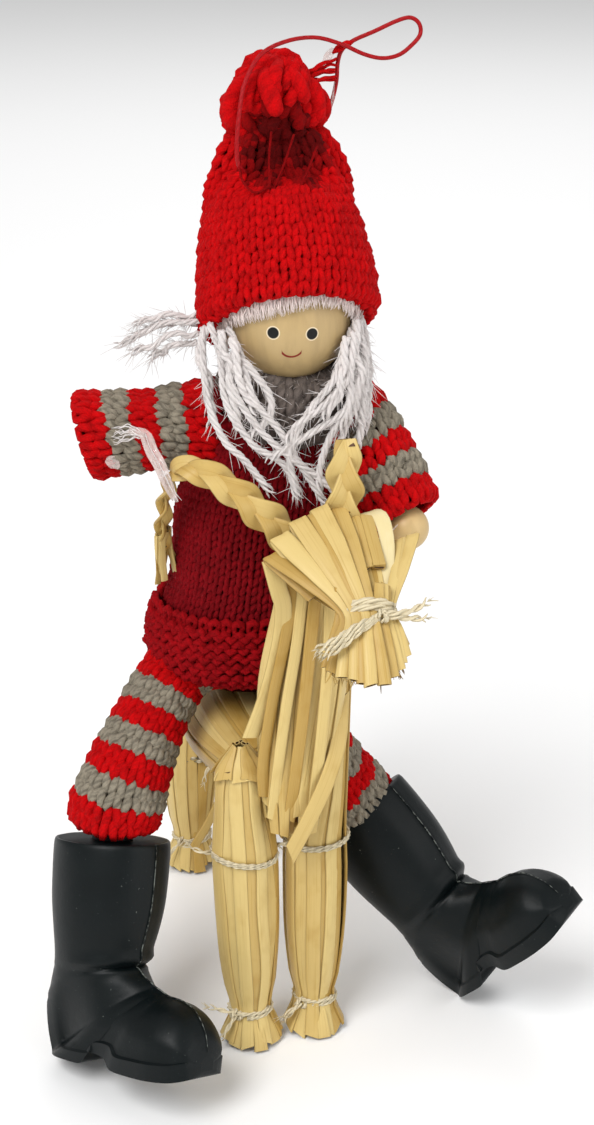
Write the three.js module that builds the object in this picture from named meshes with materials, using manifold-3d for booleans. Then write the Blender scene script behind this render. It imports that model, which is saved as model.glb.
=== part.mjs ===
// A knitted gnome riding a straw goat: a hanging ornament, in millimetres, +Z up.
// The goat faces -Y. X = 0 is the goat's middle line and Z = 0 is the surface its feet stand on.
import * as THREE from 'three';
import { mergeVertices } from 'three/addons/utils/BufferGeometryUtils.js';
import Module from 'manifold-3d';

// ---- Driving dimensions -------------------------------------------------------------------

const standX = -6.4; // moves the goat's middle line so that the whole figure's box is centred
const standY = -9.55;
const gap = 0.3; // clearance between neighbouring pieces

const goat = {
  backHeight: 69.5, // top of the body, where the rider sits
  bodyDeep: 8.5, // half the body's height
  bodyFront: -12,
  bodyRear: 67,
  strawsAround: 13,
  frontY: -15.2, // front feet
  hindY: 60, // hind feet
  legX: 6.9, // feet either side of the middle line
  ankle: 7.8, // height of the ankle ties
  kneeTie: 45.4, // height of the tie round both front legs
  hindTie: 30,
};

const head = { x: 4.1, y: -0.6, z: 151.0, radius: 12.1 };
const hand = { x: 24.9, y: -13.4, z: 111.0, radius: 4.4 };

const boot = {
  length: 41,
  height: 44.5,
  shaftLong: 12.4, // half the shaft's front-to-back size at the top
  shaftWide: 11.3,
  footWide: 9.0,
  sole: 3.4,
};

const legRadius = 9.4; // knitted leg at the boot
const sleeveRadius = 9.5;
const brimTilt = THREE.MathUtils.degToRad(29); // the hat's brim is pushed up off the face
const cordRadius = 0.4;
const threadRadius = 0.5;

// ---- Materials ----------------------------------------------------------------------------

const finish = (color, roughness) => new THREE.MeshStandardMaterial({ color, roughness, metalness: 0 });
const straw = finish('#dfc07a', 0.5);
const braid = finish('#e6c988', 0.45);
const cotton = finish('#ded3b4', 0.95);
const redYarn = finish('#c8101a', 0.95);
const darkRedYarn = finish('#8c0714', 0.95);
const stripedYarn = finish('#b5423c', 0.95);
const greyMohair = finish('#6d6560', 1);
const whiteYarn = finish('#ded8da', 0.95);
const beech = finish('#dcc08e', 0.55);
const bootPlastic = finish('#141b1c', 0.45);
const redCord = finish('#b80d18', 0.7);

// ---- Building blocks ----------------------------------------------------------------------

const ornament = new THREE.Group();
ornament.position.set(standX, standY, 0);
const wasm = await Module();
wasm.setup();

const at = (x, y, z) => new THREE.Vector3(x, y, z);
const X = at(1, 0, 0);
const plain = () => 1;

function addPiece(name, geometry, material, parent = ornament) {
  const mesh = new THREE.Mesh(geometry, material);
  mesh.name = name;
  parent.add(mesh);
  return mesh;
}

// A closed body through rings of equal count, with a fan of triangles on each end.
function loft(rings, { loop = false } = {}) {
  const count = rings[0].length;
  const points = rings.flat();
  const faces = [];
  const joined = loop ? rings.length : rings.length - 1;
  for (let i = 0; i < joined; i += 1) {
    const low = i * count;
    const high = ((i + 1) % rings.length) * count;
    for (let j = 0; j < count; j += 1) {
      const k = (j + 1) % count;
      faces.push([low + j, low + k, high + k], [low + j, high + k, high + j]);
    }
  }
  if (!loop) {
    capEnd(points, faces, 0, count, true);
    capEnd(points, faces, (rings.length - 1) * count, count, false);
  }
  return closedBody(points, faces);
}

function capEnd(points, faces, start, count, isFirst) {
  const middle = points.length;
  const centre = at(0, 0, 0);
  for (let j = 0; j < count; j += 1) centre.addScaledVector(points[start + j], 1 / count);
  points.push(centre);
  for (let j = 0; j < count; j += 1) {
    const a = start + j;
    const b = start + ((j + 1) % count);
    faces.push(isFirst ? [middle, b, a] : [middle, a, b]);
  }
}

// Faces are turned outward by the sign of the volume that they close.
function closedBody(points, faces) {
  let volume = 0;
  for (const [a, b, c] of faces) {
    volume += points[a].dot(at(0, 0, 0).crossVectors(points[b], points[c]));
  }
  const outward = volume > 0 ? faces : faces.map(([a, b, c]) => [a, c, b]);
  const geometry = new THREE.BufferGeometry();
  geometry.setFromPoints(points);
  geometry.setIndex(outward.flat());
  return geometry;
}

// A stem is lofted along a curve through its stations. Each station is a place, a half width
// along `side` and a half depth across it; `relief` scales the section round it.
const station = (x, y, z, wide, deep = wide) => ({ place: at(x, y, z), size: at(wide, deep, 0) });

function stemFrames(stations, side, rings) {
  const path = new THREE.CatmullRomCurve3(stations.map((s) => s.place), false, 'catmullrom');
  const sizes = new THREE.CatmullRomCurve3(stations.map((s) => s.size), false, 'catmullrom');
  const frames = [];
  for (let i = 0; i < rings; i += 1) {
    const t = i / (rings - 1);
    const along = path.getTangent(t);
    const wide = side.clone().addScaledVector(along, -side.dot(along)).normalize();
    const deep = at(0, 0, 0).crossVectors(along, wide);
    frames.push({ t, centre: path.getPoint(t), size: sizes.getPoint(t), along, wide, deep });
  }
  return frames;
}

function stemRings(stations, { side = X, sides = 16, rings = 8, grow = 0, relief = plain } = {}) {
  return stemFrames(stations, side, rings).map((frame) => {
    const ring = [];
    for (let j = 0; j < sides; j += 1) {
      const angle = (2 * Math.PI * j) / sides;
      const scale = relief(angle, frame.t, j);
      const wide = (frame.size.x + grow) * scale * Math.cos(angle);
      const deep = (frame.size.y + grow) * scale * Math.sin(angle);
      ring.push(frame.centre.clone().addScaledVector(frame.wide, wide).addScaledVector(frame.deep, deep));
    }
    return ring;
  });
}

const stem = (stations, shape) => loft(stemRings(stations, shape));

// Straws show as ridges: every second point of the section is drawn in.
const ridges = (depth) => (angle, t, j) => (j % 2 ? 1 - depth : 1);
const bundle = (stations, straws, shape = {}) =>
  stem(stations, { sides: 2 * straws, relief: ridges(0.09), ...shape });

// Booleans: a plain geometry becomes a manifold solid, is joined or cut, and comes back.
function toSolid(geometry) {
  const bare = new THREE.BufferGeometry();
  bare.setAttribute('position', geometry.getAttribute('position').clone());
  if (geometry.index) bare.setIndex(geometry.index.clone());
  const merged = mergeVertices(bare, 1e-4);
  const vertProperties = new Float32Array(merged.getAttribute('position').array);
  const triVerts = new Uint32Array(merged.index.array);
  return new wasm.Manifold(new wasm.Mesh({ numProp: 3, vertProperties, triVerts }));
}

function fromSolid(solid) {
  const mesh = solid.getMesh();
  const geometry = new THREE.BufferGeometry();
  geometry.setAttribute('position', new THREE.BufferAttribute(new Float32Array(mesh.vertProperties), 3));
  geometry.setIndex(Array.from(mesh.triVerts));
  return geometry;
}

const cut = (body, ...cutters) =>
  fromSolid(cutters.reduce((solid, cutter) => solid.subtract(toSolid(cutter)), toSolid(body)));
const join = (body, ...others) =>
  fromSolid(others.reduce((solid, other) => solid.add(toSolid(other)), toSolid(body)));

// A ball as a lathe profile from pole to pole.
function ball({ x, y, z, radius }, grow = 0, rows = 9, sides = 16) {
  const profile = [];
  for (let i = 0; i <= rows; i += 1) {
    const angle = -Math.PI / 2 + (Math.PI * i) / rows;
    const out = i === 0 || i === rows ? 0 : (radius + grow) * Math.cos(angle);
    profile.push(new THREE.Vector2(out, (radius + grow) * Math.sin(angle)));
  }
  const geometry = new THREE.LatheGeometry(profile, sides);
  geometry.deleteAttribute('normal');
  geometry.deleteAttribute('uv');
  geometry.rotateX(Math.PI / 2);
  geometry.translate(x, y, z);
  return dropSlivers(mergeVertices(geometry, 1e-4));
}

// The lathe leaves triangles of no area at its poles.
function dropSlivers(geometry) {
  const kept = [];
  const index = geometry.index.array;
  for (let i = 0; i < index.length; i += 3) {
    const [a, b, c] = [index[i], index[i + 1], index[i + 2]];
    if (a !== b && b !== c && a !== c) kept.push(a, b, c);
  }
  geometry.setIndex(kept);
  return geometry;
}

// A round thread laid in a closed loop through the given points.
function threadLoop(points, radius = threadRadius, sides = 5, steps = 10) {
  const path = new THREE.CatmullRomCurve3(points, true, 'centripetal');
  const rings = [];
  for (let i = 0; i < steps; i += 1) {
    const centre = path.getPointAt(i / steps);
    const along = path.getTangentAt(i / steps);
    const up = at(0, 0, 1).addScaledVector(along, -along.z).normalize();
    const out = at(0, 0, 0).crossVectors(along, up);
    const ring = [];
    for (let j = 0; j < sides; j += 1) {
      const angle = (2 * Math.PI * j) / sides;
      ring.push(centre.clone()
        .addScaledVector(out, radius * Math.cos(angle))
        .addScaledVector(up, radius * Math.sin(angle)));
    }
    rings.push(ring);
  }
  return loft(rings, { loop: true });
}

// A level oval of points, for a thread that goes round one leg.
function oval(x, y, z, wide, deep, count = 12) {
  const points = [];
  for (let i = 0; i < count; i += 1) {
    const angle = (2 * Math.PI * i) / count;
    points.push(at(x + wide * Math.cos(angle), y + deep * Math.sin(angle), z));
  }
  return points;
}

// ---- The goat -----------------------------------------------------------------------------

const bodyZ = goat.backHeight - goat.bodyDeep;
const bodyStations = [
  station(-1.0, goat.bodyFront, bodyZ - 0.6, 12.4, goat.bodyDeep - 0.8),
  station(-3.6, 8, bodyZ, 11.8, goat.bodyDeep),
  station(-2.2, 34, bodyZ, 11.6, goat.bodyDeep),
  station(0, 58, bodyZ, 11.0, goat.bodyDeep - 0.3),
  station(0, goat.bodyRear, bodyZ - 0.3, 12.0, goat.bodyDeep + 0.2),
];
const bodyCutter = stem(bodyStations, { sides: 16, rings: 6, grow: gap });

const neckStations = [
  station(6.4, -17.2, 112, 7.6, 2.6),
  station(5.6, -18.2, 100, 7.9, 3.4),
  station(2.9, -18.8, 82, 8.8, 3.6),
  station(1.2, -20.2, 66, 7.2, 3.2),
  station(0.4, -22.4, 51, 4.8, 2.4),
];

// Leg widths from the flared cut foot, past the ankle tie, to the full shin and the top.
const footToShin = [[0, 6.3], [3.2, 5.4], [goat.ankle, 3.5], [14, 4.7], [25, 5.8], [37, 6.1]];

// The foot stands level, so a leg leans only from above its flare.
function legStations(x, y, upper, lean) {
  const flare = footToShin[1][0];
  const stations = footToShin.map(([z, r]) => station(x + lean * Math.max(0, z - flare), y, z, r, 0.95 * r));
  return stations.concat(upper);
}

const frontRightY = goat.frontY + 2.0;
const frontLeft = legStations(-goat.legX, goat.frontY, [
  station(-8.3, goat.frontY - 0.8, 46, 5.9, 5.4),
  station(-9.0, goat.frontY - 1.8, 56, 4.8, 4.4),
  station(-9.2, goat.frontY - 2.6, 63.5, 4.2, 3.6),
  station(-9.1, goat.frontY - 2.2, 69.5, 1.1, 0.9),
], -0.03);
const frontRight = legStations(goat.legX, frontRightY, [
  station(7.2, frontRightY, 46, 5.8, 5.2),
  station(9.2, frontRightY - 0.4, 57, 3.9, 3.6),
  station(10.8, frontRightY - 0.6, 70, 2.6, 2.2),
  station(11.6, frontRightY - 0.6, 84, 2.2, 1.6),
], 0.006);
const hindLeg = (x) => legStations(x, goat.hindY, [
  station(1.02 * x, goat.hindY - 0.4, 48, 5.2),
  station(1.06 * x, goat.hindY - 1.2, 60, 4.2, 3.6),
], 0);

addPiece('goat_body', bundle(bodyStations, goat.strawsAround, { rings: 6 }), straw);

const neckBody = bundle(neckStations, 8, { rings: 8 });
addPiece('goat_neck', cut(neckBody, bodyCutter), straw);

const neckCutter = stem(neckStations, { sides: 12, rings: 6, grow: gap + 0.1 });
addPiece('goat_leg_front_left', cut(bundle(frontLeft, 8, { rings: 10 }), bodyCutter, neckCutter), straw);
addPiece('goat_leg_front_right', cut(bundle(frontRight, 8, { rings: 10 }), bodyCutter, neckCutter), straw);
addPiece('goat_leg_hind_left', cut(bundle(hindLeg(-goat.legX), 8, { rings: 8 }), bodyCutter), straw);
addPiece('goat_leg_hind_right', cut(bundle(hindLeg(goat.legX), 8, { rings: 8 }), bodyCutter), straw);

// The head is a fan of straws folded over at the crown, drawn in at the muzzle tie and cut off below.
const tie = at(11.8, -36.5, 104);
const headStations = [
  station(8.6, -19.4, 120.4, 6.8, 1.6),
  station(9.0, -21.0, 117.8, 13.2, 2.9),
  station(9.4, -23.6, 114.2, 15.0, 3.6),
  station(10.6, -29.6, 109, 9.8, 4.4),
  station(tie.x, tie.y, tie.z, 4.3, 3.9),
  station(11.2, -40.6, 98.4, 6.1, 4.9),
  station(10.4, -43.6, 92.6, 8.0, 5.6),
];
const headSide = at(1, 0, 0.34).normalize();
const fan = bundle(headStations, 9, { rings: 10, side: headSide });
const forelock = stem([
  station(13.6, -22.6, 120.4, 3.4, 1.4),
  station(14.6, -27.0, 116.6, 3.6, 1.8),
  station(14.6, -30.4, 112.2, 3.4, 1.6),
], { sides: 8, rings: 4 });
const headCutter = stem(headStations, { sides: 14, rings: 10, grow: gap + 0.15, side: headSide });
addPiece('goat_head', cut(join(fan, forelock), neckCutter), straw);

// Horns are three-strand plaits: flat, with bumps that alternate from side to side.
const plaitPitch = 6.4;
function plait(stations, rings, length) {
  const relief = (angle, t) => {
    const phase = (2 * Math.PI * t * length) / plaitPitch;
    const sideBump = 0.16 * Math.sin(phase) * Math.cos(angle);
    return 1 + sideBump + 0.1 * Math.cos(phase * 2) * Math.sin(angle) ** 2;
  };
  return stem(stations, { sides: 8, rings, relief, side: at(0.55, 0.25, 0.8).normalize() });
}
const hornLeft = [
  station(0.6, -19.4, 113, 3.6, 1.8),
  station(-4.6, -18.2, 118, 3.5, 1.7),
  station(-10.4, -16.2, 122.9, 3.2, 1.6),
  station(-15.8, -12.6, 125.6, 3.0, 1.5),
  station(-19.6, -7.4, 123.6, 2.7, 1.4),
  station(-20.8, -2.6, 115.4, 2.5, 1.4),
  station(-20.8, 1.2, 106, 2.2, 1.3),
  station(-20.0, 3.6, 97.5, 1.7, 1.0),
];
const hornRight = [
  station(10.6, -21.2, 120.6, 3.5, 1.8),
  station(10.6, -21.4, 124.0, 3.5, 1.7),
  station(10.8, -20.8, 129.0, 3.1, 1.5),
  station(11.6, -19.4, 132.0, 2.4, 1.3),
];
addPiece('goat_horn_left', cut(plait(hornLeft, 23, 58), headCutter, neckCutter), braid);
addPiece('goat_horn_right', cut(plait(hornRight, 9, 13), headCutter), braid);

// Cotton ties, each just clear of the straw that it draws in.
const clear = gap + threadRadius;
for (const [name, x, y] of [
  ['front_left', -7.15, goat.frontY],
  ['front_right', 6.95, frontRightY],
  ['hind_left', -goat.legX, goat.hindY],
  ['hind_right', goat.legX, goat.hindY],
]) {
  const round = oval(x, y, goat.ankle, 3.6 + clear, 3.4 + clear);
  addPiece(`ankle_tie_${name}`, threadLoop(round), cotton);
}

// One thread goes round two legs: half a turn about each, and straight across between them.
function pairTie(left, right, z, radius, sag) {
  const points = [];
  for (const [leg, start] of [[left, 0.5], [right, 1.5]]) {
    for (let i = 0; i <= 6; i += 1) {
      const angle = Math.PI * (start + i / 6);
      const low = leg === left ? sag : 0;
      points.push(at(leg.x + radius * Math.cos(angle), leg.y + radius * Math.sin(angle), z - low));
    }
  }
  return threadLoop(points, threadRadius, 5, 18);
}
const shin = 6.1 + clear + 0.1;
const frontPair = [at(-8.25, goat.frontY - 0.7, 0), at(7.15, frontRightY, 0)];
const hindPair = [at(-goat.legX, goat.hindY, 0), at(goat.legX, goat.hindY, 0)];
addPiece('front_leg_tie', pairTie(...frontPair, goat.kneeTie, shin, 0.8), cotton);
addPiece('hind_leg_tie', pairTie(...hindPair, goat.hindTie, shin, 0), cotton);

function tieRound(stations, t, side, room) {
  const frame = stemFrames(stations, side, 101)[Math.round(100 * t)];
  const points = [];
  for (let i = 0; i < 12; i += 1) {
    const angle = (2 * Math.PI * i) / 12;
    points.push(frame.centre.clone()
      .addScaledVector(frame.wide, (frame.size.x + room) * Math.cos(angle))
      .addScaledVector(frame.deep, (frame.size.y + room) * Math.sin(angle)));
  }
  return points;
}
const muzzleThread = 0.7;
const muzzleRound = tieRound(headStations, 4 / 6, headSide, muzzleThread + gap + 0.25);
addPiece('muzzle_tie', threadLoop(muzzleRound, muzzleThread), cotton);

// ---- The rider ----------------------------------------------------------------------------

// The tunic hangs from the neck to a thick hem that is rolled up round the hips.
const tunicStations = [
  station(-1.6, 7.6, goat.backHeight + 1.4, 11.5, 8.0),
  station(-1.4, 7.0, 76.6, 16.4, 12.4),
  station(-1.3, 6.9, 79.4, 20.6, 15.9),
  station(-1.2, 6.8, 84, 22.0, 16.9),
  station(-0.9, 6.6, 89, 20.9, 16.0),
  station(-0.4, 6.3, 93.6, 17.9, 13.7),
  station(0.6, 5.7, 102, 18.2, 13.6),
  station(2.0, 4.6, 113, 18.9, 13.2),
  station(3.2, 3.0, 124, 16.9, 11.8),
  station(4.2, 1.4, 133, 12.6, 9.6),
  station(4.6, 0.4, 138.4, 7.4, 7.0),
];
const tunicShape = { sides: 16, rings: 14 };
const tunicCutter = stem(tunicStations, { ...tunicShape, grow: gap });

// The scarf is a soft closed roll round the neck, lower at the chest.
function scarfRing(grow) {
  const rings = [];
  const steps = 18;
  const sides = 7;
  for (let i = 0; i < steps; i += 1) {
    const angle = (2 * Math.PI * i) / steps;
    const front = Math.max(0, -Math.sin(angle));
    const out = at(Math.cos(angle), Math.sin(angle), 0);
    const centre = at(4.4 + 9.4 * out.x, 0.6 + 8.8 * out.y, 135.6 - 3.6 * front ** 2);
    const ring = [];
    for (let j = 0; j < sides; j += 1) {
      const turn = (2 * Math.PI * j) / sides;
      const fold = 1 + 0.08 * Math.sin(3 * angle + turn);
      ring.push(centre.clone()
        .addScaledVector(out, (3.3 + grow) * fold * Math.cos(turn))
        .add(at(0, 0, (4.6 + 2.0 * front + grow) * fold * Math.sin(turn))));
    }
    rings.push(ring);
  }
  return loft(rings, { loop: true });
}

addPiece('head', ball(head), beech);
addPiece('scarf', cut(scarfRing(0), ball(head, gap)), greyMohair);
addPiece('tunic', cut(stem(tunicStations, tunicShape), scarfRing(gap), ball(head, gap)), darkRedYarn);

const sleeveLeft = [
  station(-5, 4.6, 127.5, sleeveRadius - 0.5, sleeveRadius + 1.5),
  station(-13, 5.0, 127.8, sleeveRadius - 0.5, sleeveRadius - 0.1),
  station(-22, 6.2, 128.0, sleeveRadius - 0.7, sleeveRadius - 1.7),
  station(-34.6, 8.2, 126.9, sleeveRadius - 0.2, sleeveRadius - 0.5),
];
const sleeveRight = [
  station(9, 2.0, 133.0, sleeveRadius - 1, sleeveRadius - 0.5),
  station(15.4, 0.0, 127.5, sleeveRadius - 0.4, sleeveRadius),
  station(20.4, -5.0, 119.5, sleeveRadius - 0.6, sleeveRadius - 0.8),
  station(24.0, -10.4, 112.4, sleeveRadius - 1.0, sleeveRadius - 1.4),
];
const sleeveShape = { sides: 12, rings: 7, side: at(0, 1, 0) };
const scarfCutter = scarfRing(gap);

// The left cuff is an open end with the lining in shadow; the right one is filled by the hand.
const leftCuff = stem([
  station(-30.5, 7.6, 126.9, 5.6),
  station(-36, 8.5, 126.8, 6.7),
], { sides: 12, rings: 2, side: at(0, 1, 0) });
addPiece('sleeve_left', cut(stem(sleeveLeft, sleeveShape), tunicCutter, scarfCutter, leftCuff), stripedYarn);
addPiece('sleeve_right', cut(stem(sleeveRight, sleeveShape), tunicCutter, scarfCutter, ball(hand, gap, 7, 12)), stripedYarn);
addPiece('hand_right', ball(hand, 0, 7, 12), beech);

// ---- Boots --------------------------------------------------------------------------------

// Sections in the boot's own frame: x runs forward to the toe, y across, z up from the sole. They
// lie level down the shaft, turn about the instep through the heel, and stand upright to the toe.
// Each row is [back x, back z, front x, front z, half width, share of a shoe's section, half
// width of the sole as a share].
function bootSections() {
  const { length, height, shaftLong, shaftWide, footWide } = boot;
  const shaftFront = 0.4 + 2 * shaftLong;
  return [
    [1.4, height, shaftFront - 0.9, height, shaftWide - 1.0, 0, 1],
    [0.5, height - 1.2, shaftFront, height - 1.2, shaftWide, 0, 1],
    [0.3, 0.74 * height, shaftFront - 0.6, 0.74 * height, shaftWide - 0.2, 0, 1],
    [0.9, 0.58 * height, shaftFront - 2.2, 0.58 * height, shaftWide - 1.0, 0, 1],
    [1.6, 0.45 * height, shaftFront - 3.9, 0.46 * height, shaftWide - 2.1, 0.1, 1],
    [0.5, 14.6, 22.0, 18.9, footWide - 0.5, 0.3, 0.7],
    [-0.7, 10, 23.8, 17.6, footWide - 0.9, 0.5, 0.6],
    [-0.2, 4.6, 25.2, 16.9, footWide - 1.2, 0.8, 0.5],
    [1.0, 0.3, 26.2, 16.4, footWide - 1.4, 1, 0.45],
    [4.2, 0, 26.8, 16.2, footWide - 1.3, 1, 0.8],
    [8, 0, 27.4, 16.0, footWide - 1.2, 1, 0.94],
    [13.2, 0, 28.0, 15.8, footWide - 1.4, 1, 0.94],
    [14.2, 2.3, 28.4, 15.6, footWide - 1.5, 1, 0.92],
    [19.4, 2.2, 29.4, 15.3, footWide - 1.1, 1, 0.92],
    [22.4, 0.3, 30.2, 15.0, footWide - 0.4, 1, 0.94],
    [28, 0, 32, 14.9, footWide, 1, 0.95],
    [33, 0, 34.6, 14.5, footWide - 0.1, 1, 0.95],
    [37.4, 0.2, 37.8, 12.9, footWide - 1.2, 1, 0.92],
    [length - 0.9, 0.8, length - 0.8, 9.6, footWide - 3.1, 1, 0.88],
    [length, 1.6, length, 6.4, footWide - 5.0, 1, 0.85],
  ];
}

// One side of the section, bottom to top: [share of the height, share of the half width].
const roundSide = [[0, 0], [0.067, 0.5], [0.25, 0.866], [0.5, 1], [0.75, 0.866], [0.933, 0.5], [1, 0]];
function shoeSide(heightHere, tread) {
  const sole = Math.min(0.45, boot.sole / heightHere);
  const rim = Math.min(1, tread + 0.06);
  return [[0, 0], [0, tread], [sole, rim], [sole + 0.03, rim - 0.07], [0.6, 0.88], [0.88, 0.5], [1, 0]];
}

function bootBody() {
  const rings = bootSections().map(([backX, backZ, frontX, frontZ, wide, shoe, tread]) => {
    const back = at(backX, 0, backZ);
    const front = at(frontX, 0, frontZ);
    const shoeProfile = shoeSide(back.distanceTo(front), tread);
    const half = roundSide.map(([rise, out], i) => {
      const share = THREE.MathUtils.lerp(rise, shoeProfile[i][0], shoe);
      const width = wide * THREE.MathUtils.lerp(out, shoeProfile[i][1], shoe);
      return back.clone().lerp(front, share).setY(width);
    });
    const mirrored = half.slice(1, -1).reverse().map((p) => at(p.x, -p.y, p.z));
    return half.concat(mirrored);
  });
  return loft(rings);
}

// A plug stands out of the boot's top and goes up into the knitted leg.
const plug = { x: 0.4 + boot.shaftLong, radius: 4.2, rise: 4.5 };
const upright = (z0, z1, radius, sides) =>
  stem([station(plug.x, 0, z0, radius), station(plug.x, 0, z1, radius)], { sides, rings: 2 });
const bootPlug = () => upright(boot.height - 2, boot.height + plug.rise, plug.radius, 12);

// The room that a boot needs in the leg above it: its top, with some air, and the plug's hole.
const bootRoom = (air) => join(
  upright(boot.height - 16, boot.height + air, boot.shaftLong + 2, 14),
  upright(boot.height - 2, boot.height + plug.rise + gap, plug.radius + gap, 12),
);

function placed(geometry, { heel, yaw, pitch, roll }) {
  const degrees = THREE.MathUtils.degToRad;
  geometry.applyMatrix4(new THREE.Matrix4().makeRotationX(degrees(roll)));
  geometry.applyMatrix4(new THREE.Matrix4().makeRotationY(degrees(-pitch)));
  geometry.applyMatrix4(new THREE.Matrix4().makeRotationZ(degrees(yaw)));
  geometry.translate(heel.x, heel.y, heel.z);
  return geometry;
}

const leftBoot = { heel: at(-46.7, -13.0, 1.6), yaw: -51, pitch: 12.6, roll: -18.4 };
const rightBoot = { heel: at(41.7, -5.7, -0.4), yaw: -53.8, pitch: 46, roll: 12.4 };
addPiece('boot_left', placed(join(bootBody(), bootPlug()), leftBoot), bootPlastic);
addPiece('boot_right', placed(join(bootBody(), bootPlug()), rightBoot), bootPlastic);

// ---- Knitted legs, over the boots' plugs ------------------------------------------------

const legLeft = [
  station(-10, 6.0, 79.4, 6.2),
  station(-18.2, 4.4, 76.0, 6.6),
  station(-24.4, -0.2, 68.4, 7.1),
  station(-29.8, -4.6, 59.6, legRadius - 1.2),
  station(-32.6, -6.4, 51, legRadius + 0.2),
  station(-33.4, -6.8, 46.0, legRadius - 0.8),
];
const legRight = [
  station(4.6, 6.0, 75, 5.9),
  station(7.0, 5.2, 68.2, 6.1),
  station(9.8, 3.6, 59.2, 6.5),
  station(13.4, 3.6, 51, 7.4),
  station(18.2, 4.8, 43.6, 8.4),
  station(21.0, 6.0, 38.4, 8.3),
];
const legShape = { sides: 12, rings: 8, side: at(1, 0, 0) };
addPiece('leg_left', cut(stem(legLeft, legShape), tunicCutter, bodyCutter, placed(bootRoom(1.8), leftBoot)), stripedYarn);
addPiece('leg_right', cut(stem(legRight, legShape), tunicCutter, bodyCutter, placed(bootRoom(0.5), rightBoot)), stripedYarn);

// ---- Hat and hair -------------------------------------------------------------------------

// Rings of the hat lie level at the gather and lean back towards the brim.
function hatRing(x, y, z, wide, tilt, relief, sides) {
  const ring = [];
  for (let j = 0; j < sides; j += 1) {
    const angle = (2 * Math.PI * j) / sides;
    const r = wide * relief(angle);
    const deep = r * Math.sin(angle);
    ring.push(at(x + r * Math.cos(angle), y + deep * Math.cos(tilt), z - deep * Math.sin(tilt)));
  }
  return ring;
}

// The cloth is pleated towards the gather, and sunk in at the front under the tuft.
const pleats = (depth, hollow = 0) => (angle) =>
  1 + depth * Math.cos(10 * angle) - hollow * Math.max(0, -Math.sin(angle)) ** 2;
const loops = (depth, turn) => (angle) => 1 + depth * Math.cos(7 * angle + turn);
const hatRows = [
  [4.2, 0.0, 150.2, 16.0, 1, plain],
  [4.2, 0.1, 151.4, 17.3, 1, plain],
  [4.1, 0.3, 155.6, 16.8, 0.9, plain],
  [3.7, 0.6, 161, 15.6, 0.7, plain],
  [3.1, 1.0, 168, 14.6, 0.5, plain],
  [2.6, 1.5, 174.0, 13.4, 0.3, pleats(0.02)],
  [2.4, 1.9, 179.0, 12.1, 0.15, pleats(0.05, 0.22)],
  [2.4, 2.2, 183.4, 10.4, 0, pleats(0.09, 0.38)],
  [2.4, 2.4, 186.2, 8.4, 0, pleats(0.06, 0.2)],
  [2.6, 2.5, 187.4, 9.3, 0, loops(0.08, 0)],
  [2.6, 2.6, 190.6, 9.0, 0, loops(0.1, 1.4)],
  [2.4, 2.6, 194.4, 7.5, 0, loops(0.12, 3.0)],
  [2.4, 2.6, 197.8, 5.5, 0, loops(0.12, 4.4)],
  [2.4, 2.6, 200.2, 3.5, 0, loops(0.1, 5.4)],
  [2.4, 2.6, 201.2, 1.6, 0, plain],
];
const hatBody = loft(hatRows.map(([x, y, z, r, lean, relief]) => hatRing(x, y, z, r, lean * brimTilt, relief, 18)));
const hatHollow = loft([
  [4.2, 0, 146, 14.5, 1], [4.2, 0.0, 153, 14.9, 0.95], [3.9, 0.0, 160, 13.6, 0.7], [3.8, 0.2, 165.5, 9.0, 0.5],
].map(([x, y, z, r, lean]) => hatRing(x, y, z, r, lean * brimTilt, plain, 18)));
addPiece('hat', cut(hatBody, hatHollow), redYarn);

// The hair is a band round the head under the brim, with a lock down each side of the chest.
function hairBand() {
  const outer = [[-3.0, 12.9], [-1.6, 13.5], [1, 13.6], [4.4, 13.2]];
  const inner = [[4.4, 12.6], [1, 12.6], [-2.0, 12.6]];
  const sides = 16;
  const rings = [];
  for (let i = 0; i < sides; i += 1) {
    const angle = (2 * Math.PI * i) / sides;
    const ring = [];
    for (const [height, radius] of outer.concat(inner)) {
      const r = Math.sqrt(Math.max(radius ** 2 - height ** 2, 1));
      const deep = r * Math.sin(angle);
      const c = Math.cos(brimTilt);
      const s = Math.sin(brimTilt);
      ring.push(at(head.x + r * Math.cos(angle), head.y + deep * c + height * s, head.z + height * c - deep * s));
    }
    rings.push(ring);
  }
  return loft(rings, { loop: true });
}
addPiece('hair_band', hairBand(), whiteYarn);

const lockLeft = [
  station(-8.8, -5.0, 148.5, 2.6, 1.0),
  station(-9.4, -9.2, 141.5, 3.4, 1.2),
  station(-7.2, -13.6, 133, 3.4, 1.2),
  station(-2.4, -15.6, 126, 3.2, 1.1),
  station(2.6, -15.8, 120, 2.2, 0.9),
];
const lockRight = [
  station(17.4, -4.0, 148.5, 2.6, 1.0),
  station(18.2, -7.6, 141.5, 3.2, 1.2),
  station(15.4, -12.6, 134.5, 3.2, 1.2),
  station(9.0, -15.4, 128.5, 2.8, 1.1),
  station(5.0, -16.2, 124, 2.0, 0.9),
];
const hairCutters = [scarfCutter, tunicCutter, stem(sleeveRight, { ...sleeveShape, grow: gap }), ball(head, gap)];
const lockShape = { sides: 8, rings: 8, side: at(0.85, -0.45, 0).normalize() };
const lockShapeRight = { ...lockShape, side: at(0.85, 0.45, 0).normalize() };
addPiece('hair_lock_left', cut(stem(lockLeft, lockShape), ...hairCutters), whiteYarn);
addPiece('hair_lock_right', cut(stem(lockRight, lockShapeRight), ...hairCutters), whiteYarn);

// ---- Hanging loop -------------------------------------------------------------------------

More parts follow.
